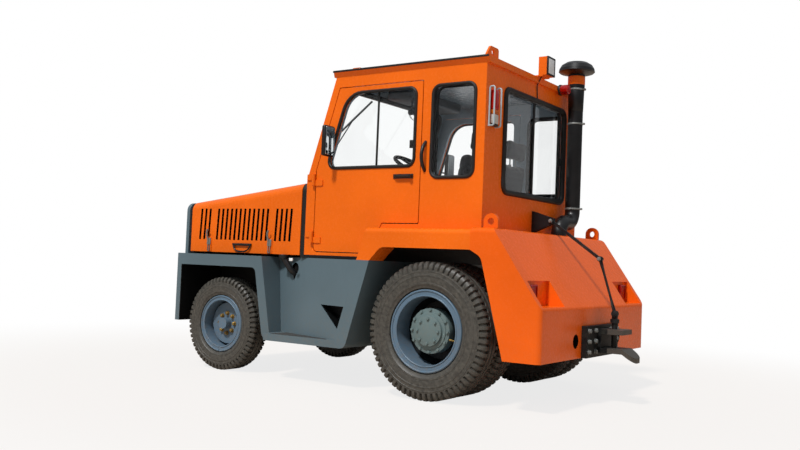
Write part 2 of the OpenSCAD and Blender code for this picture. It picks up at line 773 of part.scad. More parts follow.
// hood leaf: half the top and one side in one sheet with louvres, hung on the spine's rod
leaf_section = rounded([[leaf_y, -hood_t], [cab_half - hood_t, -hood_t], [cab_half - hood_t, -roof_z],
    [cab_half, -roof_z], [cab_half, 0], [leaf_y, 0]], [0, hood_r - hood_t, 0, 0, hood_r, 0]);
louvre_groups = [3, 12, 4];
louvre_rests = 2;
louvre_back = 120;
louvre_x = hood_front_x - louvre_back;
louvre_rise = 105;
louvre_z = hood_z + louvre_rise;
louvre_lean = 3;
function before(i) = i <= 0 ? 0 : louvre_groups[i - 1] + louvre_rests - 1 + before(i - 1);
module hood_left() color(orange) {
    difference() {
        intersection() {
            on_hood() along_x(-hood_l, 2 * hood_l) polygon(leaf_section);
            block([hood_rear_x, 0, hood_z], [hood_front_x, cab_half, roof_z]);
        }
        for (g = [0 : len(louvre_groups) - 1]) for (i = [0 : louvre_groups[g] - 1])
            translate([louvre_x - (before(g) + i) * louvre_step, cab_half - hood_t - over, louvre_z])
                rotate([0, -louvre_lean, 0]) cube([louvre_w, hood_t + 2 * over, louvre_h]);
    }
    on_hood() for (s = knuckle_shares) translate([s * hood_l - knuckle_l / 2, rod_y, -hood_t / 2])
        difference() {
            union() {
                rotate([0, 90, 0]) cylinder(h = knuckle_l, r = knuckle_r);
                block([0, 0, -knuckle_r / 2], [knuckle_l, leaf_y - rod_y + play, knuckle_r / 2]);
            }
            translate([-over, 0, 0]) rotate([0, 90, 0])
                cylinder(h = knuckle_l + 2 * over, r = rod_r + fit_gap);
        }
}
module hood_right() mirrored() hood_left();

// rubber strips between the hood and the cowl, and inside the hood's front edge
seal_gap = 8;
seal_t = 24;
module seal_strip(x0, x1, z, inset) along_x(x0, x1) difference() {
    polygon(hood_section(z, inset));
    translate([0, -over]) polygon(hood_section(z + over, inset + seal_t));
}
module hood_seals() color(black) {
    difference() {
        seal_strip(cowl_x, hood_rear_x - seal_gap, hood_rear_z, 0);
        block([cowl_x - over, -spine_half, deck_z], [hood_rear_x, spine_half, roof_z]);
    }
    seal_strip(hood_front_x - seal_t, grille_x, hood_top(grille_x), hood_t + seal_gap);
}

// hood fittings: two toggle latches on the lower edge and a pull handle between them
latch_shares = [0.2, 0.76];
latch_w = 40;
latch_h = 150;
latch_t = 22;
hold_l = 190;
hold_h = 60;
hold_t = 40;
hold_r = 9;
hold_share = 0.49;
function along_hood(share) = hood_front_x + (hood_rear_x - hood_front_x) * share;
module hood_fittings_left() color(black) {
    for (s = latch_shares) translate([along_hood(s), cab_half, hood_z]) cube([latch_w, latch_t, latch_h]);
    translate([along_hood(hold_share), cab_half, hood_z + hold_h + hold_r]) {
        for (x = [-hold_l / 2, hold_l / 2]) translate([x, 0, 0]) bar_y(0, hold_t, hold_r);
        translate([0, hold_t, 0]) rotate([0, 90, 0]) cylinder(h = hold_l, r = hold_r, center = true);
    }
}
module hood_fittings_right() mirrored() hood_fittings_left();

// door fittings: mirror on two arms at the front pillar, and the pull handle
mirror_h = 240;
mirror_w = 130;
mirror_t = 40;
mirror_rise = 170;
mirror_z = cowl_z + mirror_rise;
arm_shares = [0.25, 0.75];
mirror_back = 110;
mirror_arms = arm_shares * mirror_h;
mirror_x = at_z(door_kink, door_kink + screen_top - screen_foot, mirror_z + mirror_h / 2)[0] - mirror_back;
mirror_out = 30;
mirror_y = cab_half + mirror_out;
arm_r = 10;
pull_l = 175;
pull_h = 26;
pull_t = 22;
module door_fittings_left() color(black) {
    translate([mirror_x, 0, mirror_z]) {
        block([-mirror_t / 2, mirror_y, 0], [mirror_t / 2, mirror_y + mirror_w, mirror_h]);
        for (z = mirror_arms) translate([0, 0, z]) bar_y(cab_half, mirror_y + over, arm_r);
    }
    translate([door_rear + rear_stile, cab_half, cowl_z]) cube([pull_l, pull_t, pull_h]);
}
module door_fittings_right() mirrored() door_fittings_left();

// grab handles behind the doors
grab_back = 40;
grab_x = door_rear - grab_back;
grab_rise = 56;
grab_z = cowl_z + grab_rise;
grab_h = 200;
grab_out = 50;
grab_arc = (pow(grab_h / 2, 2) + pow(grab_out, 2)) / (2 * grab_out);
module grab_handles() color(black) both() intersection() {
    translate([grab_x, cab_half + grab_out - grab_arc, grab_z + grab_h / 2]) rotate([0, 90, 0])
        rotate_extrude() translate([grab_arc, 0]) circle(r = grab_r);
    block([grab_x - over, cab_half, grab_z - over], [grab_x + over, half_w, grab_z + grab_h + over]);
}

// intake: hose from the deck round two bends up the cab's corner, and a mushroom cap
band_t = 8;
hose_gap = 7;
hose_x = cab_rear_x - eave - pipe_r - band_t - hose_gap;
hose_y = -525;
bend_r = 100;
hose_run = 55;
foot_y = hose_y + 2 * bend_r + hose_run;
hose_foot = 12;
run_z = weight_top + hose_foot + bend_r;
band_rise = 15;
hose_top = roof_z + band_rise;
module intake_hose() color(black) translate([hose_x, 0, 0]) {
    translate([0, foot_y, weight_top]) cylinder(h = run_z - bend_r - weight_top, r = pipe_r);
    translate([0, foot_y - bend_r, run_z - bend_r]) rotate([90, 0, 90]) rotate_extrude(angle = 90)
        translate([bend_r, 0]) circle(r = pipe_r);
    translate([0, 0, run_z]) bar_y(hose_y + bend_r, foot_y - bend_r, pipe_r);
    translate([0, hose_y + bend_r, run_z + bend_r]) rotate([90, 0, 90]) rotate([0, 0, 180])
        rotate_extrude(angle = 90) translate([bend_r, 0]) circle(r = pipe_r);
    translate([0, hose_y, run_z + bend_r]) cylinder(h = hose_top - run_z - bend_r, r = pipe_r);
}
band_r = pipe_r + band_t;
// share of the radius and of the drop from the top, down the dome to the rim
cap_shares = [[0, 0], [0.3, 0.01], [0.6, 0.09], [0.85, 0.29], [0.97, 0.55], [1, 0.75], [0.93, 0.83]];
cap_h = 115;
cap_z = roof_z + cap_rise;
module intake_cap() color(black) translate([hose_x, hose_y, 0]) rotate_extrude() polygon(concat(
    [for (p = cap_shares) [p[0] * cap_r, cap_z - p[1] * cap_h]],
    [[band_r, cap_z - cap_h], [band_r, hose_top], [0, hose_top]]));

// roof lamps: a work lamp on a bracket and a round warning lamp at the roof's rear edge
work_w = 130;
work_h = 150;
work_d = 70;
work_x = cab_rear_x - work_d;
warn_r = 38;
warn_drop = 30;
warn_h = 80;
warn_y = -360;
module roof_lamps() color(orange) {
    block([work_x, -work_w / 2, roof_z], [cab_rear_x + over, work_w / 2, roof_z + strap_t]);
    block([work_x - work_d / 2, -work_w / 2, roof_z + strap_t],
        [work_x + work_d / 2, work_w / 2, roof_z + work_h]);
    translate([cab_rear_x - eave, warn_y, roof_z - warn_drop]) rotate([0, -90, 0])
        cylinder(h = warn_h, r = warn_r);
}

// wheels: a rim with a dished disc and a hub, drawn along its axle from the tyre's centre
lip = 14;
rim_wall = 12;
disc_t = 14;
// shares of the seat radius and of the tyre's height and width
dish_share = 0.8;
tyre_shares = [[0.2, 0.44], [0.5, 0.5], [0.8, 0.47], [0.94, 0.41], [1, 0.33]];
module rim(flange_r, seat_r, width, disc_at, hole_r) rotate([-90, 0, 0]) rotate_extrude() polygon([
    [flange_r, width / 2], [flange_r, width / 2 - lip], [seat_r, width / 2 - lip], [seat_r, lip - width / 2],
    [flange_r, lip - width / 2], [flange_r, -width / 2], [seat_r - rim_wall, -width / 2],
    [seat_r * dish_share, disc_at], [hole_r, disc_at], [hole_r, disc_at + disc_t],
    [seat_r * dish_share + rim_wall / 2, disc_at + disc_t], [seat_r - rim_wall, disc_t - width / 2],
    [seat_r - rim_wall, width / 2]]);
function tyre_side(r, seat_r, width, rim_width) = let (bead = rim_width / 2 - lip, h = r - seat_r)
    concat([[seat_r + seat_gap, bead], [flange_clear(seat_r, h), bead]],
        [for (p = tyre_shares) [seat_r + p[0] * h, p[1] * width]]);
function flange_clear(seat_r, h) = seat_r + h * (tyre_shares[0][0] - bead_share);
bead_share = 0.02;
function flipped(p) = [for (i = [len(p) - 1 : -1 : 0]) [p[i][0], -p[i][1]]];
module tyre(r, seat_r, width, rim_width) rotate([-90, 0, 0]) rotate_extrude($fn = tyre_fn)
    polygon(let (side = tyre_side(r, seat_r, width, rim_width)) concat(side, flipped(side)));

// steering knuckle: fork on the kingpin, spindle and an arm to the tie rod
fork_z = beam_h / 2 + play;
fork_t = 45;
back_y = king_boss_r + 6;
back_t = 32;
spindle_r = 25;
hub_half = 45;
front_hub_in = front_y - king_y - hub_half;
front_hub_end = front_y - king_y + hub_half;
arm_l = 170;
arm_z = -fork_z - fork_t;
arm_t = 22;
ball_r = 12;
ball_h = 36;
module knuckle_left() color(black) translate([wheelbase, king_y, front_r]) {
    for (z = [fork_z, -fork_z - fork_t]) difference() {
        union() {
            translate([0, 0, z]) cylinder(h = fork_t, r = king_boss_r);
            block([-king_boss_r, 0, z], [king_boss_r, back_y + back_t, z + fork_t]);
        }
        translate([0, 0, z - over]) cylinder(h = fork_t + 2 * over, r = king_r + fit_gap);
    }
    block([-king_boss_r, back_y, -fork_z - fork_t], [king_boss_r, back_y + back_t, fork_z + fork_t]);
    bar_y(back_y, front_hub_end - play, spindle_r);
    difference() {
        block([-arm_l - ball_r * 2, -arm_t, arm_z], [0, arm_t, arm_z + arm_t]);
        translate([0, 0, arm_z - over]) cylinder(h = fork_t + 2 * over, r = king_r + fit_gap);
    }
    translate([-arm_l, 0, arm_z - ball_h]) cylinder(h = ball_h, r = ball_r);
}
module knuckle_right() mirrored() knuckle_left();

// tie rod between the knuckle arms
rod_eye_r = 24;
rod_eye_h = 30;
module tie_rod() color(steel) translate([wheelbase - arm_l, 0, front_r + arm_z - ball_h]) difference() {
    union() {
        translate([0, 0, rod_eye_h / 2]) bar_y(-king_y, king_y, ball_r);
        both() translate([0, king_y, 0]) cylinder(h = rod_eye_h, r = rod_eye_r);
    }
    both() translate([0, king_y, -over]) cylinder(h = rod_eye_h + 2 * over, r = ball_r + fit_gap);
}

// front wheels
front_flange_h = 30;
front_seat_r = front_flange_r - front_flange_h;
front_disc = -10;
front_hub_r = 72;
hub_cap_r = 46;
hub_face = front_y - king_y + front_disc + disc_t;
module front_wheel() translate([wheelbase, front_y, front_r]) children();
hub_cap = 20;
module front_rim_left() color(rim_blue) front_wheel() {
    rim(front_flange_r, front_seat_r, front_rim_w, front_disc, front_hub_r - play);
    difference() {
        union() {
            translate([0, king_y - front_y, 0]) bar_y(front_hub_in, hub_face, front_hub_r);
            translate([0, king_y - front_y, 0]) bar_y(front_hub_in, front_hub_end + hub_cap, hub_cap_r);
        }
        translate([0, king_y - front_y, 0]) bar_y(front_hub_in - over, front_hub_end, spindle_r + fit_gap);
    }
}
module front_rim_right() mirrored() front_rim_left();
module front_tyre_left() color(black) front_wheel() tyre(front_r, front_seat_r, front_tyre_w, front_rim_w);
module front_tyre_right() mirrored() front_tyre_left();

// twin rear wheels on one hub
rear_flange_h = 38;
rear_seat_r = rear_flange_r - rear_flange_h;
rear_hub_r = 135;
cover_r = 92;
cover_t = 28;
module rear_wheel() translate([0, rear_y, rear_r]) children();
module rear_rims_left() color(rim_blue) rear_wheel() {
    rim(rear_flange_r, rear_seat_r, rear_rim_w, -twin_step / 2, rear_hub_r - play);
    translate([0, -twin_step, 0]) mirrored()
        rim(rear_flange_r, rear_seat_r, rear_rim_w, -twin_step / 2, rear_hub_r - play);
    translate([0, -rear_y, 0]) difference() {
        union() {
            bar_y(hub_in, hub_end + over, rear_hub_r);
            bar_y(hub_end, hub_end + over + cover_t, cover_r);
        }
        bar_y(hub_in - over, hub_end + play, axle_r + fit_gap);
    }
}
module rear_rims_right() mirrored() rear_rims_left();
module rear_tyres_left() color(black) rear_wheel() for (y = [0, -twin_step]) translate([0, y, 0])
    tyre(rear_r, rear_seat_r, rear_w, rear_rim_w);
module rear_tyres_right() mirrored() rear_tyres_left();

// hitch pin with its head, drawn up by a rod from a lever behind the cab
pin_head = 28;
pin_head_r = 32;
pin_rise = 45;
pin_top = jaw_top + jaw_t + pin_rise;
link_r = 9;
link_t = 20;
link_w = 26;
link_play = 8;
knee_rise = 352;
knee = [tail_x, brow_z + knee_rise];
pivot_back = 157;
pivot_rise = 115;
lever_pivot = [cab_rear_x - pivot_back, fender_z + pivot_rise];
foot_rise = 38;
rod_foot = [pin_x, pin_top + pin_head + foot_rise];
module hitch_pin() color(steel) translate([pin_x, 0, 0]) {
    translate([0, 0, jaw_low - jaw_t]) cylinder(h = pin_top - jaw_low + jaw_t, r = pin_r);
    translate([0, 0, pin_top]) cylinder(h = pin_head, r = pin_head_r);
    translate([0, 0, rod_foot[1]]) bar_y(-link_w, link_w, link_r);
    block([-link_t, -link_t / 2, pin_top], [link_t, link_t / 2, rod_foot[1] + link_t]);
}

// bracket on the cab's rear wall with the lever's pivot pin
cheek_t = 10;
gusset_low = 95;
gusset_high = 75;
module lever_bracket() color(black) {
    both() along_y(link_t / 2 + play, link_t / 2 + play + cheek_t) polygon([lever_pivot - [link_t, link_t],
        [cab_rear_x, lever_pivot[1] - gusset_low], [cab_rear_x, lever_pivot[1] + gusset_high],
        lever_pivot + [-link_t, link_t]]);
    translate([lever_pivot[0], 0, lever_pivot[1]]) bar_y(-link_w, link_w, link_r);
}
module pin_lever() color(black) {
    difference() {
        along_y(-link_t / 2, link_t / 2) union() {
            translate(lever_pivot) circle(r = link_t);
            translate(knee) circle(r = link_t);
            translate(knee) rotate(angle_of(lever_pivot - knee)) translate([0, -link_t / 2])
                square([norm(lever_pivot - knee), link_t]);
        }
        translate([lever_pivot[0], 0, lever_pivot[1]]) bar_y(-over, over, link_r + fit_gap);
    }
    translate([knee[0], 0, knee[1]]) bar_y(-link_w, link_w, link_r);
}
module pin_rod() color(black) both() difference() {
    along_y(link_w - link_t / 2, link_w) union() {
        translate(knee) circle(r = link_t);
        translate(rod_foot) circle(r = link_t + link_play);
        translate(knee) rotate(angle_of(rod_foot - knee)) translate([0, -link_t / 2])
            square([norm(rod_foot - knee), link_t]);
    }
    translate([knee[0], 0, knee[1]]) bar_y(0, over, link_r + fit_gap);
    translate([rod_foot[0], 0, rod_foot[1]]) bar_y(0, over, link_r + link_play);
}

place() chassis_frame();
place() engine_block();
place() front_axle();
place() rear_axle();
place() front_plate();
place() grille_panel();
place() headlamps();
place() front_fenders();
place() side_panels();
place() rear_fenders();
place() counterweight();
place() rear_lamps();
place() hitch_jaw();
place() lever_bracket();
place() cab_floor();
place() cab_sides();
place() cab_rear();
place() cab_front();
place() cab_roof();
place() cab_glass();
place() seat();
place() passenger_seat();
place() dashboard();
place() steering_wheel();
place() hood_spine();
place() hood_seals();
place() grab_handles();
place() intake_hose();
place() intake_cap();
place() roof_lamps();
place() hood_left();
place() hood_right();
place() hood_fittings_left();
place() hood_fittings_right();
place() door_left();
place() door_right();
place() door_glass_left();
place() door_glass_right();
place() door_fittings_left();
place() door_fittings_right();
place() knuckle_left();
place() knuckle_right();
place() tie_rod();
place() front_rim_left();
place() front_tyre_left();
place() front_rim_right();
place() front_tyre_right();
place() rear_rims_left();
place() rear_tyres_left();
place() rear_rims_right();
place() rear_tyres_right();
place() pin_lever();
place() pin_rod();
place() hitch_pin();
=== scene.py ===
import math
import bpy
from mathutils import Matrix, Vector


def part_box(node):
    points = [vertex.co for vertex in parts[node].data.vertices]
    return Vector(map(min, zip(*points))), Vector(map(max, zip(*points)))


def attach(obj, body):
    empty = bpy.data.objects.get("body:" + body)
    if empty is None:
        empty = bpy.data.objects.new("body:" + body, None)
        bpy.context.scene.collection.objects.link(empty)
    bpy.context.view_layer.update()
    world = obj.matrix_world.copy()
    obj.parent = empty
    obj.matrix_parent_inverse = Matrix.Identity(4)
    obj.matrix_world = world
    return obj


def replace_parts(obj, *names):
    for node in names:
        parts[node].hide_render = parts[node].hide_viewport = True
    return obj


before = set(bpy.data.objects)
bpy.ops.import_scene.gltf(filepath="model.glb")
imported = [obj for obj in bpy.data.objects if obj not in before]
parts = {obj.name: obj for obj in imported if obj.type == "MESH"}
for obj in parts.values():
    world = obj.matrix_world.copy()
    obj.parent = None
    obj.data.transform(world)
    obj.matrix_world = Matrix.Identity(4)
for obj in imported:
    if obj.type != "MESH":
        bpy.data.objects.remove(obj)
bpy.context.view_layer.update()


# Studio: a pale floor with a white surround, one soft key lamp from the left and an even sky
# fill. The camera stands low behind the left rear corner, as a person kneeling would.
def linear(code):
    """sRGB hex as linear red, green, blue and alpha."""
    steps = [int(code[i:i + 2], 16) / 255 for i in (1, 3, 5)]
    return [c / 12.92 if c <= 0.04045 else ((c + 0.055) / 1.055) ** 2.4 for c in steps] + [1]


def add(tree, kind, links=None, **settings):
    """A shader node with its settings, and values or other nodes' outputs on its inputs."""
    node = tree.nodes.new(kind)
    for name, value in settings.items():
        setattr(node, name, value)
    for socket, value in (links or {}).items():
        if isinstance(value, bpy.types.NodeSocket):
            tree.links.new(value, node.inputs[socket])
        else:
            node.inputs[socket].default_value = value
    return node


def seen_rays(tree):
    """1 for rays that look at the surround straight or through glass."""
    path = add(tree, "ShaderNodeLightPath")
    both = add(tree, "ShaderNodeMath", {0: path.outputs["Is Camera Ray"],
        1: path.outputs["Is Transmission Ray"]}, operation="MAXIMUM")
    return both.outputs[0]


camera_place = (-3.989, 6.196, 0.964)
camera_yaw = math.radians(33.999)
camera_pitch = math.radians(2.3875)
camera_roll = math.radians(2.3347)
camera_lens = 39.64
camera = bpy.data.objects.new("camera", bpy.data.cameras.new("camera"))
bpy.context.scene.collection.objects.link(camera)
camera.data.lens = camera_lens
ahead = Vector((math.sin(camera_yaw) * math.cos(camera_pitch),
    -math.cos(camera_yaw) * math.cos(camera_pitch), math.sin(camera_pitch)))
across = ahead.cross(Vector((0, 0, 1))).normalized()
above = across.cross(ahead)
side = across * math.cos(camera_roll) + above * math.sin(camera_roll)
top = above * math.cos(camera_roll) - across * math.sin(camera_roll)
camera.matrix_world = Matrix.Translation(camera_place) @ Matrix((side, top, -ahead)).transposed().to_4x4()
bpy.context.scene.camera = camera
bpy.context.scene.view_settings.view_transform = "Standard"

world = bpy.data.worlds.new("surround")
bpy.context.scene.world = world
world.use_nodes = True
sky = world.node_tree
sky.nodes.clear()
fill = add(sky, "ShaderNodeBackground", {"Color": linear("#E9EEF4"), "Strength": 0.5})
white = add(sky, "ShaderNodeBackground", {"Color": (1, 1, 1, 1), "Strength": 1})
compass = add(sky, "ShaderNodeTexCoord").outputs["Generated"]
upward = add(sky, "ShaderNodeSeparateXYZ", {0: compass}).outputs["Z"]
shine = add(sky, "ShaderNodeMapRange", {"Value": upward, "From Min": 0.0, "From Max": 0.7,
    "To Min": 0.08, "To Max": 0.6})
cloud = add(sky, "ShaderNodeBackground", {"Color": linear("#EEF3F8"), "Strength": shine.outputs[0]})
gleam = add(sky, "ShaderNodeMixShader", {0: add(sky, "ShaderNodeLightPath").outputs["Is Glossy Ray"],
    1: fill.outputs[0], 2: cloud.outputs[0]})
choice = add(sky, "ShaderNodeMixShader", {0: seen_rays(sky), 1: gleam.outputs[0], 2: white.outputs[0]})
add(sky, "ShaderNodeOutputWorld", {"Surface": choice.outputs[0]})

key_way = Vector((0, -0.72, -0.95))
key = bpy.data.objects.new("key", bpy.data.lights.new("key", "SUN"))
bpy.context.scene.collection.objects.link(key)
key.data.energy = 2.85
key.data.angle = math.radians(6)
key.rotation_euler = key_way.to_track_quat("-Z", "Y").to_euler()

bpy.ops.object.select_all(action="DESELECT")
bpy.ops.mesh.primitive_circle_add(vertices=96, radius=30, fill_type="NGON")
floor = bpy.context.object
floor.name = "floor"
# matt paint that keeps a soft shadow under the tractor and fades to the white surround
pale = bpy.data.materials.new("painted floor")
pale.use_nodes = True
shade = pale.node_tree
shade.nodes.clear()
spot = add(shade, "ShaderNodeTexCoord")
reach = add(shade, "ShaderNodeVectorMath", {0: spot.outputs["Object"]}, operation="LENGTH")
far = add(shade, "ShaderNodeMapRange", {"Value": reach.outputs["Value"], "From Min": 2.5, "From Max": 6.5,
    "To Min": 0.8, "To Max": 1}, interpolation_type="SMOOTHSTEP")
lit = add(shade, "ShaderNodeMath", {0: far.outputs[0], 1: seen_rays(shade)}, operation="MULTIPLY")
matt = add(shade, "ShaderNodeBsdfDiffuse", {"Color": linear("#C4B3A3")})
glow = add(shade, "ShaderNodeEmission", {"Color": (1, 1, 1, 1), "Strength": 1})
mixed = add(shade, "ShaderNodeMixShader", {0: lit.outputs[0], 1: matt.outputs[0], 2: glow.outputs[0]})
add(shade, "ShaderNodeOutputMaterial", {"Surface": mixed.outputs[0]})
floor.data.materials.append(pale)


# Chassis frame and steering gear: welded rails and forged levers, sprayed with black chassis
# enamel. Road dust settles on it, thickest low down.
def blank(name):
    """A new material with its node tree, its shader and the piece's own coordinates."""
    material = bpy.data.materials.new(name)
    material.use_nodes = True
    tree = material.node_tree
    place = add(tree, "ShaderNodeTexCoord").outputs["Object"]
    return material, tree, tree.nodes["Principled BSDF"], place


def coated(name, code, dust="#7D6F5E", dust_top=0.9, dust_most=0.35, rough=0.34, gloss_level=0.25):
    """Enamel over steel: drifts of tone, dust up to a height, faint spray texture in the gloss."""
    material, tree, shader, place = blank(name)
    drift_size = 0.55
    drift = add(tree, "ShaderNodeTexNoise", {"Vector": place, "Scale": 1 / drift_size, "Detail": 5})
    fade = add(tree, "ShaderNodeMapRange", {"Value": drift.outputs[0], "From Min": 0.3, "From Max": 0.7,
        "To Min": 0.9, "To Max": 1.06})
    tone = add(tree, "ShaderNodeMix", {"Factor": 1.0, 6: linear(code), 7: fade.outputs[0]},
        data_type="RGBA", blend_type="MULTIPLY")
    height = add(tree, "ShaderNodeSeparateXYZ", {0: place}).outputs["Z"]
    low = add(tree, "ShaderNodeMapRange", {"Value": height, "From Min": dust_top, "From Max": 0.15,
        "To Min": 0, "To Max": dust_most}, interpolation_type="SMOOTHSTEP")
    speck_size = 0.03
    speck = add(tree, "ShaderNodeTexNoise", {"Vector": place, "Scale": 1 / speck_size, "Detail": 8,
        "Roughness": 0.7})
    patch = add(tree, "ShaderNodeMapRange", {"Value": speck.outputs[0], "From Min": 0.38, "From Max": 0.68})
    cover = add(tree, "ShaderNodeMath", {0: low.outputs[0], 1: patch.outputs[0]}, operation="MULTIPLY")
    dusty = add(tree, "ShaderNodeMix", {"Factor": cover.outputs[0], 6: tone.outputs[2], 7: linear(dust)},
        data_type="RGBA")
    tree.links.new(dusty.outputs[2], shader.inputs["Base Color"])
    gloss = add(tree, "ShaderNodeMapRange", {"Value": speck.outputs[0], "From Min": 0.3, "From Max": 0.8,
        "To Min": rough - 0.06, "To Max": rough + 0.14})
    tree.links.new(gloss.outputs[0], shader.inputs["Roughness"])
    peel_size = 0.006
    spray = add(tree, "ShaderNodeTexNoise", {"Vector": place, "Scale": 1 / peel_size, "Detail": 2})
    ripple = add(tree, "ShaderNodeBump", {"Height": spray.outputs[0], "Strength": 0.05, "Distance": 0.002})
    tree.links.new(ripple.outputs[0], shader.inputs["Normal"])
    shader.inputs["Specular IOR Level"].default_value = gloss_level
    return material


def finish(material, *names):
    """Puts one material on CAD nodes."""
    for name in names:
        parts[name].data.materials.clear()
        parts[name].data.materials.append(material)


# satin black, grey with dust towards the road
chassis_enamel = coated("black chassis enamel", "#17181A", rough=0.45, dust_most=0.5)
finish(chassis_enamel, "chassis_frame", "knuckle_left", "knuckle_right", "tie_rod", "cab_floor",
    "hood_spine", "lever_bracket")


# Castings: the engine block and both axles are grey iron, sand cast, with a grainy skin and
# brown oil and dust in the hollows.
def iron(name, code, stain, grain=0.004):
    """Cast, forged or plated metal: a grainy sheen with stains that dull it."""
    material, tree, shader, place = blank(name)
    stain_size = 0.09
    soil = add(tree, "ShaderNodeTexNoise", {"Vector": place, "Scale": 1 / stain_size, "Detail": 8,
        "Roughness": 0.65})
    share = add(tree, "ShaderNodeMapRange", {"Value": soil.outputs[0], "From Min": 0.42, "From Max": 0.68})
    tone = add(tree, "ShaderNodeMix", {"Factor": share.outputs[0], 6: linear(code), 7: linear(stain)},
        data_type="RGBA")
    tree.links.new(tone.outputs[2], shader.inputs["Base Color"])
    skin = add(tree, "ShaderNodeTexNoise", {"Vector": place, "Scale": 1 / grain, "Detail": 3})
    bump = add(tree, "ShaderNodeBump", {"Height": skin.outputs[0], "Strength": 0.25, "Distance": 0.002})
    tree.links.new(bump.outputs[0], shader.inputs["Normal"])
    rub = add(tree, "ShaderNodeMapRange", {"Value": soil.outputs[0], "To Min": 0.38, "To Max": 0.75})
    tree.links.new(rub.outputs[0], shader.inputs["Roughness"])
    shader.inputs["Metallic"].default_value = 0.7
    return material


# dull grey with brown patches
cast_iron = iron("cast iron", "#4A4C4D", "#4B3D31")
finish(cast_iron, "engine_block", "front_axle", "rear_axle")


# Rear fenders and roof lamp housings: pressed and welded sheet, stoved in the glossy orange
# enamel that the cab, the hood and the counterweight have too.
orange = {"code": "#EE6B14", "dust": "#9A6A48", "dust_top": 0.8, "dust_most": 0.12, "rough": 0.24,
    "gloss_level": 0.18}
# a bright even orange with soft reflections, faintly browned low down
orange_enamel = coated("orange enamel", **orange)
finish(orange_enamel, "rear_fenders", "roof_lamps")


# Cab and doors: welded sheet in the same enamel outside and a coat of slate inside, which shows
# grey behind the windows. The slate is made lighter as painted light, standing in for the light that
# the glass keeps out of the cab.
def second_coat(material, code, planes):
    """A second colour wherever a point lies behind every plane, left and right alike."""
    tree = material.node_tree
    shader = tree.nodes["Principled BSDF"]
    place = add(tree, "ShaderNodeTexCoord").outputs["Object"]
    spread = add(tree, "ShaderNodeSeparateXYZ", {0: place})
    width = add(tree, "ShaderNodeMath", {0: spread.outputs["Y"]}, operation="ABSOLUTE")
    folded = add(tree, "ShaderNodeCombineXYZ", {0: spread.outputs["X"], 1: width.outputs[0],
        2: spread.outputs["Z"]})
    share = 1.0
    for normal, offset in planes:
        reach = add(tree, "ShaderNodeVectorMath", {0: folded.outputs[0], 1: normal}, operation="DOT_PRODUCT")
        behind = add(tree, "ShaderNodeMath", {0: reach.outputs["Value"], 1: offset}, operation="LESS_THAN")
        share = add(tree, "ShaderNodeMath", {0: behind.outputs[0], 1: share}, operation="MULTIPLY").outputs[0]
    first = shader.inputs["Base Color"].links[0].from_socket
    tone = add(tree, "ShaderNodeMix", {"Factor": share, 6: first, 7: linear(code)}, data_type="RGBA")
    tree.links.new(tone.outputs[2], shader.inputs["Base Color"])


def within(**limits):
    """The planes of a box, by its lowest and highest place along each axis that has a limit."""
    planes = []
    for axis, name in enumerate("xyz"):
        along = Vector([float(other == axis) for other in range(3)])
        low, high = limits.get(name, (None, None))
        if low is not None:
            planes.append((-along, -low))
        if high is not None:
            planes.append((along, high))
    return planes


screen_foot = Vector((0.544, 0, 1.581))
screen_head = Vector((0.289, 0, 2.385))
screen_inset = 0.02
up_screen = (screen_head - screen_foot).normalized()
off_screen = Vector((up_screen.z, 0, -up_screen.x))
in_from_screen = (off_screen, off_screen.dot(screen_foot) - screen_inset)
cab_enamel = coated("orange enamel over slate", **orange)
# slate inside, lightened as painted light for the cab's dim inside
second_coat(cab_enamel, "#98A5AE",
    within(x=(-1.018, 0.535), y=(None, 0.790), z=(None, 2.387)) + [in_from_screen])
finish(cab_enamel, "cab_sides", "cab_rear", "cab_front", "cab_roof", "door_left", "door_right")


# Counterweight: a cast iron slab bolted behind the cab, in the same orange with a redder cast.
# Inside its two bar holes it is near-black.
weight_enamel = coated("orange enamel on cast iron", **{**orange, "code": "#EF6212"})
second_coat(weight_enamel, "#141210", within(x=(-1.593, -1.50), y=(0.345, 0.475), z=(0.395, 0.525)))
finish(weight_enamel, "counterweight")


# Hood leaves: pressed sheet in the same orange, painted matt black inside round the louvres as
# painted shade, so that their slots read as dark lines.
hood_enamel = coated("orange enamel with painted shade", **orange)
# painted shade: near-black inside the leaves and on the louvre slots' walls
second_coat(hood_enamel, "#0C0C0D", within(x=(0.67, 1.76), y=(None, 0.8185), z=(1.07, 1.36)))
finish(hood_enamel, "hood_left", "hood_right")


# Nose panel, front plate, front fenders and side tanks: thick bent plate in satin blue-grey
# enamel, with near-black painted shade inside the wheel arches, the toe holes and the filler recesses.
grey = {"code": "#5A6C74", "rough": 0.42, "dust_most": 0.3}
# an even slate with a dull sheen, dusty at its foot
grey_enamel = coated("blue-grey enamel", **grey)
finish(grey_enamel, "grille_panel")
tank_enamel = coated("blue-grey enamel over black", **grey)
fold_off = Vector((0.2833, 0.956, 0.0711))
fold_foot = Vector((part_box("side_panels")[0][0] + 0.272, 1.0, 0.36))
fold_inset = 0.006
in_from_fold = (fold_off, fold_off.dot(fold_foot) - fold_inset)
toe_hole = within(x=(0.018, None), z=(0.435, 0.63))
filler_recess = within(x=(0.60, 0.72), z=(0.76, 0.935))
# painted shade: near-black in the toe holes and the filler recesses, which lie deep
for hollow in (toe_hole, filler_recess):
    second_coat(tank_enamel, "#0E0F10", [in_from_fold] + hollow)
finish(tank_enamel, "side_panels")
arch_enamel = coated("blue-grey enamel over undercoat", **grey)
leg_slope = ((-1, 0, 0.197), -0.791)
# painted shade: near-black inside the front wheel arches, which stand in deep shade
second_coat(arch_enamel, "#131415",
    within(x=(None, 1.852), y=(None, 0.905), z=(None, 0.955)) + [leg_slope])
finish(arch_enamel, "front_plate", "front_fenders")


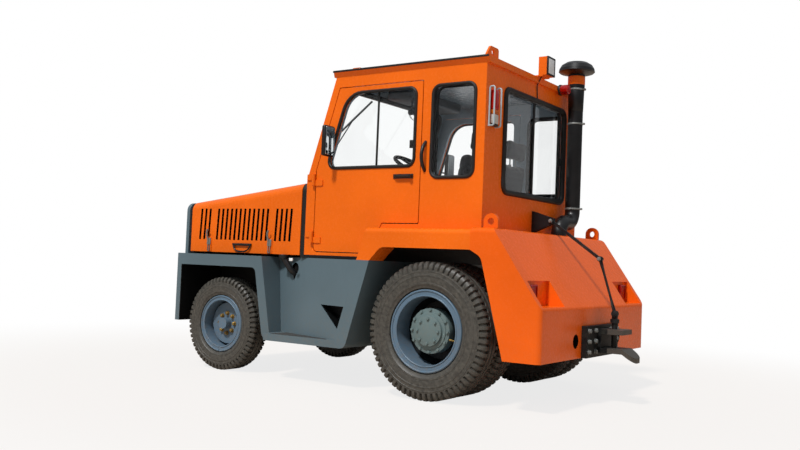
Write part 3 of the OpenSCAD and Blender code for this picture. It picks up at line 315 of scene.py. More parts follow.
# Rims and hubs: pressed steel discs in blue-grey wheel enamel, closed by split lock rings. Each
# rear pair turns on a bolted drive hub, and the front discs are held by plated nuts.
hands = (("left", 1), ("right", -1))
along_x = (0, math.pi / 2, 0)
along_y = (math.pi / 2, 0, 0)


def alone(piece):
    """Only this piece selected and active."""
    bpy.ops.object.select_all(action="DESELECT")
    piece.select_set(True)
    bpy.context.view_layer.objects.active = piece


def started(operator, name, **at):
    """A new primitive under a piece's name, its place and turn put into its mesh."""
    bpy.ops.object.select_all(action="DESELECT")
    operator(**at)
    piece = bpy.context.object
    piece.name = name
    piece.data.name = name
    bpy.ops.object.transform_apply(location=True, rotation=True, scale=True)
    return piece


def pick(piece, test):
    """Edit mode with only the faces that pass the test selected."""
    alone(piece)
    bpy.ops.object.mode_set(mode="EDIT")
    bpy.ops.mesh.select_mode(type="FACE")
    bpy.ops.mesh.select_all(action="DESELECT")
    bpy.ops.object.mode_set(mode="OBJECT")
    for face in piece.data.polygons:
        face.select = test(face)
    bpy.ops.object.mode_set(mode="EDIT")


def applied(piece, kind, **settings):
    """One modifier, set and applied."""
    alone(piece)
    modifier = piece.modifiers.new(kind.lower(), kind)
    for name, value in settings.items():
        setattr(modifier, name, value)
    bpy.ops.object.modifier_apply(modifier=modifier.name)


def softened(piece, width, segments=2):
    """Edges broken by a small radius."""
    applied(piece, "BEVEL", width=width, segments=segments, limit_method="ANGLE")


def stepped(piece, test, *steps):
    """The faces that pass the test, inset by a rim and moved in or out, once for each step."""
    pick(piece, test)
    for rim, move in steps:
        bpy.ops.mesh.inset(thickness=rim)
        bpy.ops.mesh.extrude_region_move(TRANSFORM_OT_translate={"value": move})
    bpy.ops.object.mode_set(mode="OBJECT")


def drum(name, radius, depth, place, turn=(0, 0, 0), sides=48, edge=0):
    """A round disc or bar about its place, its edges broken where an edge is given."""
    piece = started(bpy.ops.mesh.primitive_cylinder_add, name, vertices=sides, radius=radius, depth=depth,
        location=place, rotation=turn)
    if edge:
        softened(piece, edge)
    return piece


def ringed(piece, count, centre):
    """Copies of the piece evenly round an axle through the centre."""
    turn = bpy.data.objects.new("turn", None)
    bpy.context.scene.collection.objects.link(turn)
    turn.matrix_world = (Matrix.Translation(centre) @ Matrix.Rotation(2 * math.pi / count, 4, "Y")
        @ Matrix.Translation(-Vector(centre)))
    bpy.context.view_layer.update()
    applied(piece, "ARRAY", use_relative_offset=False, use_object_offset=True, offset_object=turn,
        count=count)
    bpy.data.objects.remove(turn)


def joined(pieces, name):
    """Several pieces as one."""
    bpy.ops.object.select_all(action="DESELECT")
    for piece in pieces:
        piece.select_set(True)
    bpy.context.view_layer.objects.active = pieces[0]
    bpy.ops.object.join()
    pieces[0].name = name
    pieces[0].data.name = name
    return pieces[0]


def fitted(piece, material, body="chassis"):
    """Gives a finished piece its material and its body."""
    alone(piece)
    piece.data.materials.clear()
    piece.data.materials.append(material)
    bpy.ops.object.shade_smooth_by_angle(angle=math.radians(35))
    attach(piece, body)
    return piece


def mirrored(points, way, start=(0, 0, 0)):
    """Points of the left side, counted from a start, or for way -1 the same on the right."""
    return [Vector((start[0] + x, way * (start[1] + y), start[2] + z)) for x, y, z in points]


def hex_head(name, place, outward, width, height):
    """A hexagon bolt head on a washer, facing outward along Y or X."""
    facing = Vector(outward)
    turn = facing.to_track_quat("Z", "Y").to_euler()
    washer_h = height * 0.2
    head = drum(name, width / 1.8, height, Vector(place) + facing * (height / 2 + washer_h), turn, 6)
    pick(head, lambda face: face.normal.dot(facing) > 0.9)
    bpy.ops.mesh.bevel(offset=height * 0.14, segments=1)
    bpy.ops.object.mode_set(mode="OBJECT")
    washer = drum(name + "_washer", width * 0.72, washer_h, Vector(place) + facing * (washer_h / 2), turn, 16)
    return joined([head, washer], name)


def bolt_circle(name, axle, ring_r, face, count, width, height):
    """Bolt heads evenly round an axle, on a face that looks away from the tractor's middle."""
    heads = hex_head(name, axle + Vector((ring_r, face, 0)), (0, math.copysign(1, face), 0), width, height)
    ringed(heads, count, axle)
    return heads


split = 0.006


def rolled(name, centre, radius, thick):
    """A rolled steel ring on a rim, split at its foot."""
    ring = started(bpy.ops.mesh.primitive_torus_add, name, major_radius=radius, minor_radius=thick,
        major_segments=128, minor_segments=10, location=centre, rotation=along_y)
    pick(ring, lambda face: face.center.z < centre[2] and abs(face.center.x - centre[0]) < split)
    bpy.ops.mesh.delete(type="FACE")
    bpy.ops.mesh.select_all(action="SELECT")
    bpy.ops.mesh.fill_holes(sides=0)
    bpy.ops.object.mode_set(mode="OBJECT")
    return ring


def wire(name, points, radius, bend):
    """A round bar bent along points, with the same radius at each bend."""
    piece = started(bpy.ops.mesh.primitive_plane_add, name, size=0.01)
    bpy.ops.object.mode_set(mode="EDIT")
    bpy.ops.mesh.select_mode(type="VERT")
    bpy.ops.mesh.merge(type="CENTER")
    bpy.ops.transform.translate(value=points[0])
    for here, there in zip(points, points[1:]):
        bpy.ops.mesh.extrude_vertices_move(TRANSFORM_OT_translate={"value": Vector(there) - Vector(here)})
    bpy.ops.mesh.select_all(action="SELECT")
    bpy.ops.mesh.bevel(affect="VERTICES", offset=bend, segments=5)
    bpy.ops.object.mode_set(mode="OBJECT")
    bpy.ops.object.convert(target="CURVE")
    piece.data.bevel_depth = radius
    piece.data.use_fill_caps = True
    bpy.ops.object.convert(target="MESH")
    return piece


wheel_blue = {"code": "#5C7589", "rough": 0.4, "dust_top": 1.0, "dust_most": 0.4}
# a mid blue, greyed all over by road dust
wheel_enamel = coated("blue wheel enamel", **wheel_blue)
finish(wheel_enamel, "front_rim_left", "front_rim_right")
twin_enamel = coated("blue wheel enamel with painted shade", **wheel_blue)
# painted shade: near-black on the rear rims' inner parts and discs, which the rims shade
second_coat(twin_enamel, "#15181B", within(y=(None, 0.80)))
finish(twin_enamel, "rear_rims_left", "rear_rims_right")
hub_enamel = coated("grey-green axle enamel", "#66797A", rough=0.42, dust_top=1.0, dust_most=0.3)
# plating gives small bright heads, cool grey or warm yellow
zinc = iron("zinc plated steel", "#8F9391", "#5E5A52", grain=0.002)
brass = iron("yellow passivated steel", "#A98C4E", "#6B5634", grain=0.002)
rear_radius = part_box("rear_tyres_left")[1][2] / 2
front_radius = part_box("front_tyre_left")[1][2] / 2
rear_axle = Vector((-0.710, 0, rear_radius))
front_axle = Vector((1.380, 0, front_radius))
flange_r = 0.160
flange_deep = 0.085
flange_face = 0.905
flange_bolt_r = 0.147
flange_rim = 0.028
boss_rim = 0.024
boss_up = 0.008
cover_up = 0.022
cover_face = flange_face + boss_up + cover_up
cover_bolt_r = 0.086
nut_r = 0.083
nut_face = 0.784
rear_rim_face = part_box("rear_rims_left")[1][1]
front_rim_face = 0.860
# radius and thickness of each ring
lock_rings = ((0.284, 0.008), (0.247, 0.006))
rim_rings = ((0.227, 0.007), (0.197, 0.005))
valve_route = ((-0.236, 0.84, -0.060), (-0.228, 0.905, -0.060), (-0.188, 0.925, -0.050))
valve_end = (-0.184, 0.926, -0.049)
for hand, way in hands:
    rear_wheel = "rear_wheel_" + hand
    front_wheel = "front_wheel_" + hand
    drive = drum("drive_hub_" + hand, flange_r, flange_deep,
        rear_axle + Vector((0, way * (flange_face - flange_deep / 2), 0)), along_y, 72)
    stepped(drive, lambda face: face.normal.y * way > 0.9, (flange_rim, (0, way * boss_up, 0)),
        (boss_rim, (0, way * cover_up, 0)))
    softened(drive, 0.003)
    fitted(drive, hub_enamel, rear_wheel)
    flange = bolt_circle("hub_bolts_" + hand, rear_axle, flange_bolt_r, way * flange_face, 12, 0.020, 0.012)
    fitted(flange, hub_enamel, rear_wheel)
    cover = bolt_circle("cover_bolts_" + hand, rear_axle, cover_bolt_r, way * cover_face, 8, 0.018, 0.011)
    fitted(cover, hub_enamel, rear_wheel)
    rings = [rolled("ring", rear_axle + Vector((0, way * rear_rim_face, 0)), *ring) for ring in lock_rings]
    fitted(joined(rings, "lock_rings_" + hand), wheel_enamel, rear_wheel)
    valve = wire("valve", mirrored(valve_route, way, rear_axle), 0.005, 0.012)
    cap = drum("cap", 0.007, 0.022, mirrored([valve_end], way, rear_axle)[0], along_x, 16, 0.002)
    fitted(joined([valve, cap], "valve_" + hand), brass, rear_wheel)
    nuts = bolt_circle("wheel_nuts_" + hand, front_axle, nut_r, way * nut_face, 8, 0.026, 0.020)
    fitted(nuts, brass, front_wheel)
    rings = [rolled("ring", front_axle + Vector((0, way * front_rim_face, 0)), *ring) for ring in rim_rings]
    fitted(joined(rings, "rim_rings_" + hand), wheel_enamel, front_wheel)


# Tyres: bias-ply truck tyres moulded in black rubber. Shoulder lugs and zigzag ribs wrap the
# tread, moulded rings run round each wall, and road dust greys the whole.
rubber, tree, shader, place = blank("tyre rubber")
# dull black with pale dust in fine specks
dust_size = 0.025
dust = add(tree, "ShaderNodeTexNoise", {"Vector": place, "Scale": 1 / dust_size, "Detail": 9,
    "Roughness": 0.72})
share = add(tree, "ShaderNodeMapRange", {"Value": dust.outputs[0], "From Min": 0.3, "From Max": 0.8})
tone = add(tree, "ShaderNodeMix", {"Factor": share.outputs[0], 6: linear("#2B2A28"), 7: linear("#625F57")},
    data_type="RGBA")
tree.links.new(tone.outputs[2], shader.inputs["Base Color"])
pore_size = 0.003
pores = add(tree, "ShaderNodeTexNoise", {"Vector": place, "Scale": 1 / pore_size, "Detail": 2})
skin = add(tree, "ShaderNodeBump", {"Height": pores.outputs[0], "Strength": 0.15, "Distance": 0.001})
tree.links.new(skin.outputs[0], shader.inputs["Normal"])
shader.inputs["Roughness"].default_value = 0.47
shader.inputs["Specular IOR Level"].default_value = 0.45

# share of the height above the bead seat, and of the width from the middle
wall_shares = [(0.2, 0.44), (0.3, 0.470), (0.31, 0.482), (0.36, 0.488), (0.37, 0.478), (0.42, 0.486),
    (0.5, 0.490), (0.55, 0.488), (0.56, 0.498), (0.60, 0.496), (0.61, 0.484), (0.68, 0.478), (0.69, 0.487),
    (0.72, 0.484), (0.73, 0.472), (0.76, 0.470), (0.77, 0.472), (0.86, 0.460), (0.93, 0.432), (0.98, 0.39),
    (1, 0.345), (1, 0.205), (0.955, 0.198), (0.955, 0.166), (1, 0.16), (1, 0.035), (0.965, 0.028)]
bead_share = 0.18
steps_a_lug = 6
gap_from = 4
lug_from = 0.768
lug_in = 0.2
tread_from = 0.985
groove_deep = 0.018
rib_from = 0.94
rib_in = 0.1
rib_out = 0.3
zigzag = [0, 1, 2, 1, 0, -1]
zigzag_step = 0.003


def tyre(name, centre, radius, width, seat, bead, lugs):
    """A spun tyre whose shoulders are cut into lugs."""
    height = radius - seat
    half = [(seat + 0.0003, bead), (seat + bead_share * height, bead)]
    half += [(seat + s * height, y * width) for s, y in wall_shares]
    outline = half + [(r, -y) for r, y in reversed(half)]
    piece = started(bpy.ops.mesh.primitive_circle_add, name, vertices=len(outline), radius=radius)
    for vertex, (r, y) in zip(piece.data.vertices, outline):
        vertex.co = centre + Vector((0, y, r))
    alone(piece)
    bpy.ops.object.mode_set(mode="EDIT")
    bpy.ops.mesh.select_all(action="SELECT")
    steps = lugs * steps_a_lug
    bpy.ops.mesh.spin(steps=steps, angle=2 * math.pi, center=centre, axis=(0, 1, 0))
    bpy.ops.mesh.select_all(action="SELECT")
    bpy.ops.mesh.remove_doubles(threshold=0.0002)
    bpy.ops.mesh.normals_make_consistent(inside=False)
    bpy.ops.object.mode_set(mode="OBJECT")
    for vertex in piece.data.vertices:
        out = vertex.co - centre
        y = out.y
        out.y = 0
        share = (out.length - seat) / height
        turn = round(math.atan2(out.x, out.z) / (2 * math.pi) * steps) % steps
        if share > lug_from and abs(y) > lug_in * width and turn % steps_a_lug >= gap_from:
            if share > tread_from:
                vertex.co -= out.normalized() * groove_deep
            else:
                vertex.co.y -= math.copysign(groove_deep * 0.75, y)
                vertex.co -= out.normalized() * groove_deep * 0.4
        elif share > rib_from and rib_in * width < abs(y) < rib_out * width:
            vertex.co.y += zigzag[turn % steps_a_lug] * zigzag_step
    return piece


outer_twin_y = 0.868
twin_gap = 0.276
steer_y = 0.780
for hand, way in hands:
    twins = [tyre("twin", rear_axle + Vector((0, way * y, 0)), rear_radius, 0.232, 0.255, 0.081, 64)
        for y in (outer_twin_y, outer_twin_y - twin_gap)]
    pair = fitted(joined(twins, "twin_tyres_" + hand), rubber, "rear_wheel_" + hand)
    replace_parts(pair, "rear_tyres_" + hand)
    single = tyre("steer_tyre_" + hand, front_axle + Vector((0, way * steer_y, 0)), front_radius, 0.198,
        0.205, 0.066, 56)
    fitted(single, rubber, "front_wheel_" + hand)
    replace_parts(single, "front_tyre_" + hand)


# Window glass: flat tempered panes, float glass cut and heat treated, held by their rubber seals.
# They are clear, with a faint haze where the wiper and the hand don't reach.
glass, tree, shader, place = blank("tempered glass")
# nearly unseen from the side, with faint reflections
film_size = 0.25
film = add(tree, "ShaderNodeTexNoise", {"Vector": place, "Scale": 1 / film_size, "Detail": 4})
haze = add(tree, "ShaderNodeMapRange", {"Value": film.outputs[0], "From Min": 0.45, "From Max": 0.8,
    "To Min": 0.0, "To Max": 0.05})
tree.links.new(haze.outputs[0], shader.inputs["Roughness"])
shader.inputs["Base Color"].default_value = linear("#FDFEFE")
shader.inputs["Transmission Weight"].default_value = 1
shader.inputs["IOR"].default_value = 1.25
finish(glass, "cab_glass", "door_glass_left", "door_glass_right")


# Window seals: black rubber cord pressed round each pane's edge, standing a little proud of
# the sheet outside. Slim bars part the door panes and the sliding rear panes.
def moulded(name, code, grain, rough, bump=0.1):
    """Moulded rubber or plastic: near-even tone with a fine grain in the skin."""
    material, tree, shader, place = blank(name)
    bloom_size = 0.08
    bloom = add(tree, "ShaderNodeTexNoise", {"Vector": place, "Scale": 1 / bloom_size, "Detail": 6})
    level = add(tree, "ShaderNodeMapRange", {"Value": bloom.outputs[0], "From Min": 0.3, "From Max": 0.7,
        "To Min": 0.8, "To Max": 1.25})
    tone = add(tree, "ShaderNodeMix", {"Factor": 1.0, 6: linear(code), 7: level.outputs[0]},
        data_type="RGBA", blend_type="MULTIPLY")
    tree.links.new(tone.outputs[2], shader.inputs["Base Color"])
    pits = add(tree, "ShaderNodeTexNoise", {"Vector": place, "Scale": 1 / grain, "Detail": 2})
    skin = add(tree, "ShaderNodeBump", {"Height": pits.outputs[0], "Strength": bump, "Distance": 0.001})
    tree.links.new(skin.outputs[0], shader.inputs["Normal"])
    worn = add(tree, "ShaderNodeMapRange", {"Value": bloom.outputs[0], "To Min": rough - 0.1,
        "To Max": rough + 0.1})
    tree.links.new(worn.outputs[0], shader.inputs["Roughness"])
    return material


# dull black that drinks the light
seal_rubber = moulded("black seal rubber", "#0C0C0D", 0.002, 0.55)
finish(seal_rubber, "hood_seals")


def corded(name, node, facing, shift, radius):
    """A round cord along the outline of a pane's face that looks a given way."""
    piece = bpy.data.objects.new(name, parts[node].data.copy())
    bpy.context.scene.collection.objects.link(piece)
    alone(piece)
    bpy.ops.object.mode_set(mode="EDIT")
    bpy.ops.mesh.select_all(action="SELECT")
    bpy.ops.mesh.remove_doubles(threshold=0.00005)
    bpy.ops.object.mode_set(mode="OBJECT")
    pick(piece, lambda face: face.normal.dot(facing) < 0.9)
    bpy.ops.mesh.delete(type="FACE")
    bpy.ops.mesh.select_all(action="SELECT")
    bpy.ops.mesh.dissolve_faces()
    bpy.ops.mesh.delete(type="ONLY_FACE")
    bpy.ops.mesh.select_all(action="SELECT")
    bpy.ops.transform.translate(value=facing * shift)
    bpy.ops.object.mode_set(mode="OBJECT")
    bpy.ops.object.convert(target="CURVE")
    piece.data.bevel_depth = radius
    bpy.ops.object.convert(target="MESH")
    return piece


def boxed(name, corner, opposite, edge, segments=3):
    """A block between two opposite corners with rounded edges."""
    middle = (Vector(corner) + Vector(opposite)) / 2
    size = [abs(a - b) for a, b in zip(corner, opposite)]
    piece = started(bpy.ops.mesh.primitive_cube_add, name, size=1, location=middle, scale=size)
    softened(piece, edge, segments)
    return piece


seal_radius = 0.013
set_back = 0.0275
pane_low, pane_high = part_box("door_glass_left")
pane_y = pane_high[1]
bar_t = 0.010
divider_x = -0.110
divider_half = 0.008
divider = ((divider_x - divider_half, pane_y, pane_low[2]),
    (divider_x + divider_half, pane_y + bar_t, pane_high[2]))
door_catch = ((pane_low[0] + 0.030, pane_y, 1.805), (pane_low[0] + 0.058, pane_y + bar_t, 1.865))
rear_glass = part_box("cab_glass")[0]
rear_glass_x = rear_glass[0]
rear_skin = rear_glass_x - 0.0005
slider_catch = ((rear_glass_x - 0.022, 0.478, 1.80), (rear_skin, 0.502, 1.86))
for hand, way in hands:
    out = Vector((0, way, 0))
    door = "door_" + hand
    door_seal = corded("door_seal_" + hand, "door_glass_" + hand, out, set_back, seal_radius)
    fitted(door_seal, seal_rubber, door)
    quarter_seal = corded("quarter_seal_" + hand, "cab_glass", out, set_back, seal_radius)
    fitted(quarter_seal, seal_rubber)
    fitted(boxed("door_divider_" + hand, *mirrored(divider, way), 0.003), seal_rubber, door)
    fitted(boxed("pane_catch_" + hand, *mirrored(door_catch, way), 0.003), seal_rubber, door)
    fitted(boxed("slider_catch_" + hand, *mirrored(slider_catch, way), 0.004), seal_rubber)
rear_seal = corded("rear_seal", "cab_glass", Vector((-1, 0, 0)), set_back, seal_radius * 1.7)
fitted(rear_seal, seal_rubber)
screen_seal = corded("screen_seal", "cab_glass", off_screen, 0.012, seal_radius * 1.3)
fitted(screen_seal, seal_rubber)
slider = boxed("rear_divider", (rear_glass_x - 0.012, -0.012, rear_glass[2]),
    (rear_skin, 0.012, pane_high[2]), 0.003)
fitted(slider, seal_rubber)


# Wiper: a sprung steel arm on the windscreen's driver's side, pivoted below the glass, with a
# rubber blade across its end.
def on_screen(across, up, off):
    """A point of the windscreen, by its place across, up the slope and off the glass."""
    return screen_foot + up_screen * up + off_screen * off + Vector((0, across, 0))


# even black with a soft sheen
black_plastic = moulded("black ABS", "#111214", 0.0015, 0.42)
blade_lean = math.radians(43)
blade_y = 0.44
blade_up = 0.575
blade_half = 0.23
pivot_y = blade_y + 0.20
wiper_route = ((pivot_y, 0.030, -0.002), (pivot_y, 0.032, 0.022), (blade_y + 0.12, 0.30, 0.026),
    (blade_y, blade_up, 0.020))
arm = wire("arm", [on_screen(*point) for point in wiper_route], 0.005, 0.012)
blade = boxed("blade", (-0.008, -0.006, -blade_half), (0.008, 0.006, blade_half), 0.003)
blade.data.transform(Matrix.Translation(on_screen(blade_y, blade_up, 0.012))
    @ Matrix((off_screen, (0, 1, 0), up_screen)).transposed().to_4x4() @ Matrix.Rotation(blade_lean, 4, "X"))
fitted(joined([arm, blade], "wiper"), black_plastic)


# Seats: a black cloth cushion, back and headrest over foam, each set on a steel box. The foam
# swells the cloth between its sewn edges. The passenger's seat is the driver's over again.
seat_cloth, tree, shader, place = blank("woven seat cloth")
# soft near-black, with a weave that is drawn coarse enough to show
thread = 0.004
weave_scale = 1 / thread / 2 / math.pi
warp, weft = [add(tree, "ShaderNodeTexWave", {"Vector": place, "Scale": weave_scale, "Distortion": 0.6},
    bands_direction=axis) for axis in "YX"]
weave = add(tree, "ShaderNodeMath", {0: warp.outputs[1], 1: weft.outputs[1]}, operation="MULTIPLY")
tone = add(tree, "ShaderNodeMix", {"Factor": weave.outputs[0], 6: linear("#1B1C1F"), 7: linear("#34363B")},
    data_type="RGBA")
tree.links.new(tone.outputs[2], shader.inputs["Base Color"])
nap = add(tree, "ShaderNodeBump", {"Height": weave.outputs[0], "Strength": 0.3, "Distance": 0.001})
tree.links.new(nap.outputs[0], shader.inputs["Normal"])
shader.inputs["Roughness"].default_value = 0.9
shader.inputs["Sheen Weight"].default_value = 0.3


def stuffed(name, low, high, lean, edge, swell):
    """A sewn cover blown up by its foam: a leaning block that cloth pressure crowns."""
    piece = boxed(name, low, high, edge, 4)
    for vertex in piece.data.vertices:
        vertex.co.x += lean * (vertex.co.z - low[2]) / (high[2] - low[2])
    applied(piece, "REMESH", mode="VOXEL", voxel_size=0.006)
    start = [vertex.co.copy() for vertex in piece.data.vertices]
    alone(piece)
    cloth = piece.modifiers.new("cloth", "CLOTH")
    cloth.settings.use_pressure = True
    cloth.settings.uniform_pressure_force = 4
    cloth.settings.effector_weights.gravity = 0
    for step in range(1, 21):
        bpy.context.scene.frame_set(step)
    bpy.ops.object.modifier_apply(modifier="cloth")
    bpy.context.scene.frame_set(1)
    for vertex, was in zip(piece.data.vertices, start):
        move = vertex.co - was
        if move.length > swell:
            vertex.co = was + move.normalized() * swell
    applied(piece, "SUBSURF", levels=1, render_levels=1)
    return piece


def copied(piece, name, shift):
    """The same piece again at another place."""
    twin = piece.copy()
    twin.data = piece.data.copy()
    twin.name = name
    twin.data.name = name
    twin.data.transform(Matrix.Translation(shift))
    bpy.context.scene.collection.objects.link(twin)
    return twin


seat_low, seat_high = [Vector(corner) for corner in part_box("seat")]
seat_x = seat_low.x
seat_y = (seat_low.y + seat_high.y) / 2
seat_half = (seat_high.y - seat_low.y) / 2
# name, rear and front from the seat's rear, foot and top height, half width, lean, edge and swell
pads = (("cushion", 0.203, 0.558, 1.315, 1.415, seat_half - 0.02, 0.008, 0.035, 0.02),
    ("backrest", 0.113, 0.203, 1.390, 1.800, seat_half - 0.03, -0.065, 0.035, 0.02),
    ("headrest", 0.030, 0.102, 1.830, 1.980, 0.150, -0.015, 0.03, 0.012))
foams = [stuffed(name, (seat_x + back, seat_y - half, foot), (seat_x + front, seat_y + half, head),
    lean, edge, swell) for name, back, front, foot, head, half, lean, edge, swell in pads]
pedestal = boxed("pedestal", (seat_x + 0.148, seat_low.y + 0.05, seat_low.z),
    (seat_x + 0.523, seat_high.y - 0.05, 1.298), 0.012)
stays = joined([wire("stay", [(seat_x + 0.080, y, 1.74), (seat_x + 0.076, y, 1.88)], 0.006, 0.001)
    for y in (seat_y - 0.05, seat_y + 0.05)], "stays")
to_passenger = (0, -2 * seat_y, 0)
for person, node, shift in (("driver", "seat", (0, 0, 0)), ("passenger", "passenger_seat", to_passenger)):
    for first in foams:
        pad = fitted(copied(first, person + "_" + first.name, shift), seat_cloth)
        if first == foams[0]:
            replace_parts(pad, node)
    fitted(copied(pedestal, person + "_pedestal", shift), chassis_enamel)
    fitted(copied(stays, person + "_stays", shift), zinc)
for first in foams + [pedestal, stays]:
    bpy.data.objects.remove(first)


# Dashboard: moulded black panel with a raised instrument hood, three round gauges and a row of
# rocker switches. The wheel is a rubber-covered ring on a steel column.
finish(black_plastic, "dashboard", "grab_handles")
finish(seal_rubber, "steering_wheel")
dash_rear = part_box("dashboard")[0][0]
dash_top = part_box("dashboard")[1][2]
binnacle_y = 0.270
binnacle_z = dash_top + 0.035
to_rear = (0, -math.pi / 2, 0)


def faces_rear(face):
    """True of a face that looks to the rear."""
    return face.normal.x < -0.9


binnacle = started(bpy.ops.mesh.primitive_cube_add, "instrument_hood", size=1,
    location=(dash_rear + 0.075, binnacle_y, binnacle_z), scale=(0.14, 0.36, 0.07))
stepped(binnacle, faces_rear, (0.012, (0.03, 0, 0)))
softened(binnacle, 0.006)
fitted(binnacle, black_plastic)
gauges = [drum("gauge", 0.026, 0.008, (dash_rear + 0.032, binnacle_y + off, binnacle_z), to_rear, 28)
    for off in (-0.09, 0, 0.09)]
for gauge in gauges:
    stepped(gauge, faces_rear, (0.004, (0.004, 0, 0)))
fitted(joined(gauges, "gauges"), zinc)
rockers = [boxed("rocker", (dash_rear - 0.006, y - 0.011, dash_top - 0.075),
    (dash_rear, y + 0.011, dash_top - 0.035), 0.002) for y in (-0.10, -0.06, -0.02, 0.02, 0.06)]
fitted(joined(rockers, "rocker_switches"), seal_rubber)


# Cab ceiling: a moulded grey console screwed under the roof, and a small fan in a wire cage that
# hangs from it to clear the windscreen.
# flat mid grey, matt
console_grey = moulded("grey polypropylene", "#3A4046", 0.002, 0.6)
console = boxed("ceiling_console", (-0.05, -0.55, 2.300), (0.20, 0.25, 2.384), 0.02)
fitted(console, console_grey)
fan = Vector((0.02, 0.10, 2.215))
motor_at = fan + Vector((0.03, 0, 0))
console_foot = 2.305
# radius of each ring of the cage, and its place along the fan's axis
cage_rings = ((0.075, 0), (0.058, -0.022), (0.038, -0.028), (0.018, -0.030), (0.058, 0.022))
cage = [started(bpy.ops.mesh.primitive_torus_add, "cage", major_radius=radius, minor_radius=0.002,
    major_segments=32, minor_segments=6, location=fan + Vector((x, 0, 0)), rotation=along_x)
    for radius, x in cage_rings]
motor = drum("motor", 0.024, 0.05, motor_at, along_x, 20, 0.005)
bracket = wire("bracket", [motor_at + Vector((0, 0, 0.02)), (motor_at.x, motor_at.y, console_foot)],
    0.008, 0.001)
fitted(joined([motor, bracket] + cage, "cab_fan"), console_grey)


# Roof edge: an extruded black rubber bead pressed over the welded edge of the roof sheet, along
# both sides.
roof_low, roof_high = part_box("cab_roof")
roof_top = 2.430
bead_t = 0.005
edges = [boxed("bead", (roof_low[0], y - bead_t, roof_top - 0.012),
    (roof_high[0] - 0.004, y + bead_t, roof_top + 0.003), 0.002) for y in (roof_low[1], roof_high[1])]
fitted(joined(edges, "roof_beads"), seal_rubber)


# Roof lamps: a work lamp whose clear fluted glass sits in a black bezel, with its lead down to the
# window seal, a round red warning lamp on a rubber base, and two amber markers on the roof.
def lens(name, code, flute, through=0.35):
    """Moulded lens: coloured, glossy, with ribs a few millimetres apart that break up the light."""
    material, tree, shader, place = blank(name)
    ribs = add(tree, "ShaderNodeTexWave", {"Vector": place, "Scale": 1 / flute / 2 / math.pi},
        bands_direction="Y")
    dip = add(tree, "ShaderNodeMapRange", {"Value": ribs.outputs[1], "To Min": 0.7, "To Max": 1.1})
    tone = add(tree, "ShaderNodeMix", {"Factor": 1.0, 6: linear(code), 7: dip.outputs[0]},
        data_type="RGBA", blend_type="MULTIPLY")
    tree.links.new(tone.outputs[2], shader.inputs["Base Color"])
    press = add(tree, "ShaderNodeBump", {"Height": ribs.outputs[1], "Strength": 0.4, "Distance": 0.002})
    tree.links.new(press.outputs[0], shader.inputs["Normal"])
    shader.inputs["Roughness"].default_value = 0.12
    shader.inputs["Transmission Weight"].default_value = through
    return material


red_lens = lens("red acrylic lens", "#B3120B", 0.008)
amber_lens = lens("amber acrylic lens", "#E4701A", 0.008)
# near-white with little transmission: painted light that makes the clear glass read bright in shade
clear_lens = lens("clear fluted glass", "#F2F6F8", 0.012, through=0.1)
work_x = -1.148
work_z = 2.510
bezel = started(bpy.ops.mesh.primitive_cube_add, "work_lamp_bezel", size=1,
    location=(work_x - 0.004, 0, work_z), scale=(0.012, 0.134, 0.144))
stepped(bezel, faces_rear, (0.012, (0.006, 0, 0)))
softened(bezel, 0.002)
fitted(bezel, black_plastic)
pane = boxed("work_lamp_lens", (work_x - 0.009, -0.053, work_z - 0.058),
    (work_x - 0.0045, 0.053, work_z + 0.058), 0.002)
fitted(pane, clear_lens)
lead_route = [(-1.100, 0.030, 2.442), (-1.082, 0.030, 2.420), (-1.052, 0.024, 2.370), (-1.049, 0.010, 2.300),
    (-1.049, 0.006, 2.258)]
fitted(wire("work_lamp_cable", lead_route, 0.004, 0.01), seal_rubber)
warn = Vector((-1.067, -0.360, 2.400))
base = drum("warning_lamp_base", 0.044, 0.020, warn - Vector((0.011, 0, 0)), to_rear, 36, 0.004)
fitted(base, seal_rubber)
dome = drum("warning_lamp_lens", 0.040, 0.058, warn - Vector((0.050, 0, 0)), to_rear, 36)
pick(dome, faces_rear)
for rise, taper in ((0.008, 0.82), (0.004, 0.5)):
    bpy.ops.mesh.extrude_region_move(TRANSFORM_OT_translate={"value": (-rise, 0, 0)})
    bpy.ops.transform.resize(value=(1, taper, taper))
bpy.ops.object.mode_set(mode="OBJECT")
softened(dome, 0.003)
fitted(dome, red_lens)
marker_box = ((0.090, 0.743, roof_top - 0.002), (0.170, 0.787, roof_top + 0.028))
for hand, way in hands:
    fitted(boxed("roof_marker_" + hand, *mirrored(marker_box, way), 0.012, 4), amber_lens)


# Tail lamps: stacked acrylic lenses, red over amber over clear, on a black base between two loops
# of galvanised rod. The low lamps in the counterweight's pockets are red.
stack = lens("stacked lamp lens", "#B3120B", 0.008)
tree = stack.node_tree
place = add(tree, "ShaderNodeTexCoord").outputs["Object"]
height = add(tree, "ShaderNodeSeparateXYZ", {0: place}).outputs["Z"]
lamp_foot = 1.960
lamp_tall = 0.245
lamp_head = lamp_foot + lamp_tall
amber_from = 0.28
red_from = 0.42
level = add(tree, "ShaderNodeMapRange", {"Value": height, "From Min": lamp_foot, "From Max": lamp_head})
bands = add(tree, "ShaderNodeValToRGB", {0: level.outputs[0]})
ramp = bands.color_ramp
ramp.interpolation = "CONSTANT"
ramp.elements[0].color = linear("#B3120B")
for share, code in ((0.001, "#E8E4DC"), (amber_from, "#E0731B"), (red_from, "#D21A10")):
    ramp.elements.new(share).color = linear(code)
ramp.elements.remove(ramp.elements[-1])
tree.links.new(bands.outputs[0], tree.nodes["Principled BSDF"].inputs["Base Color"])
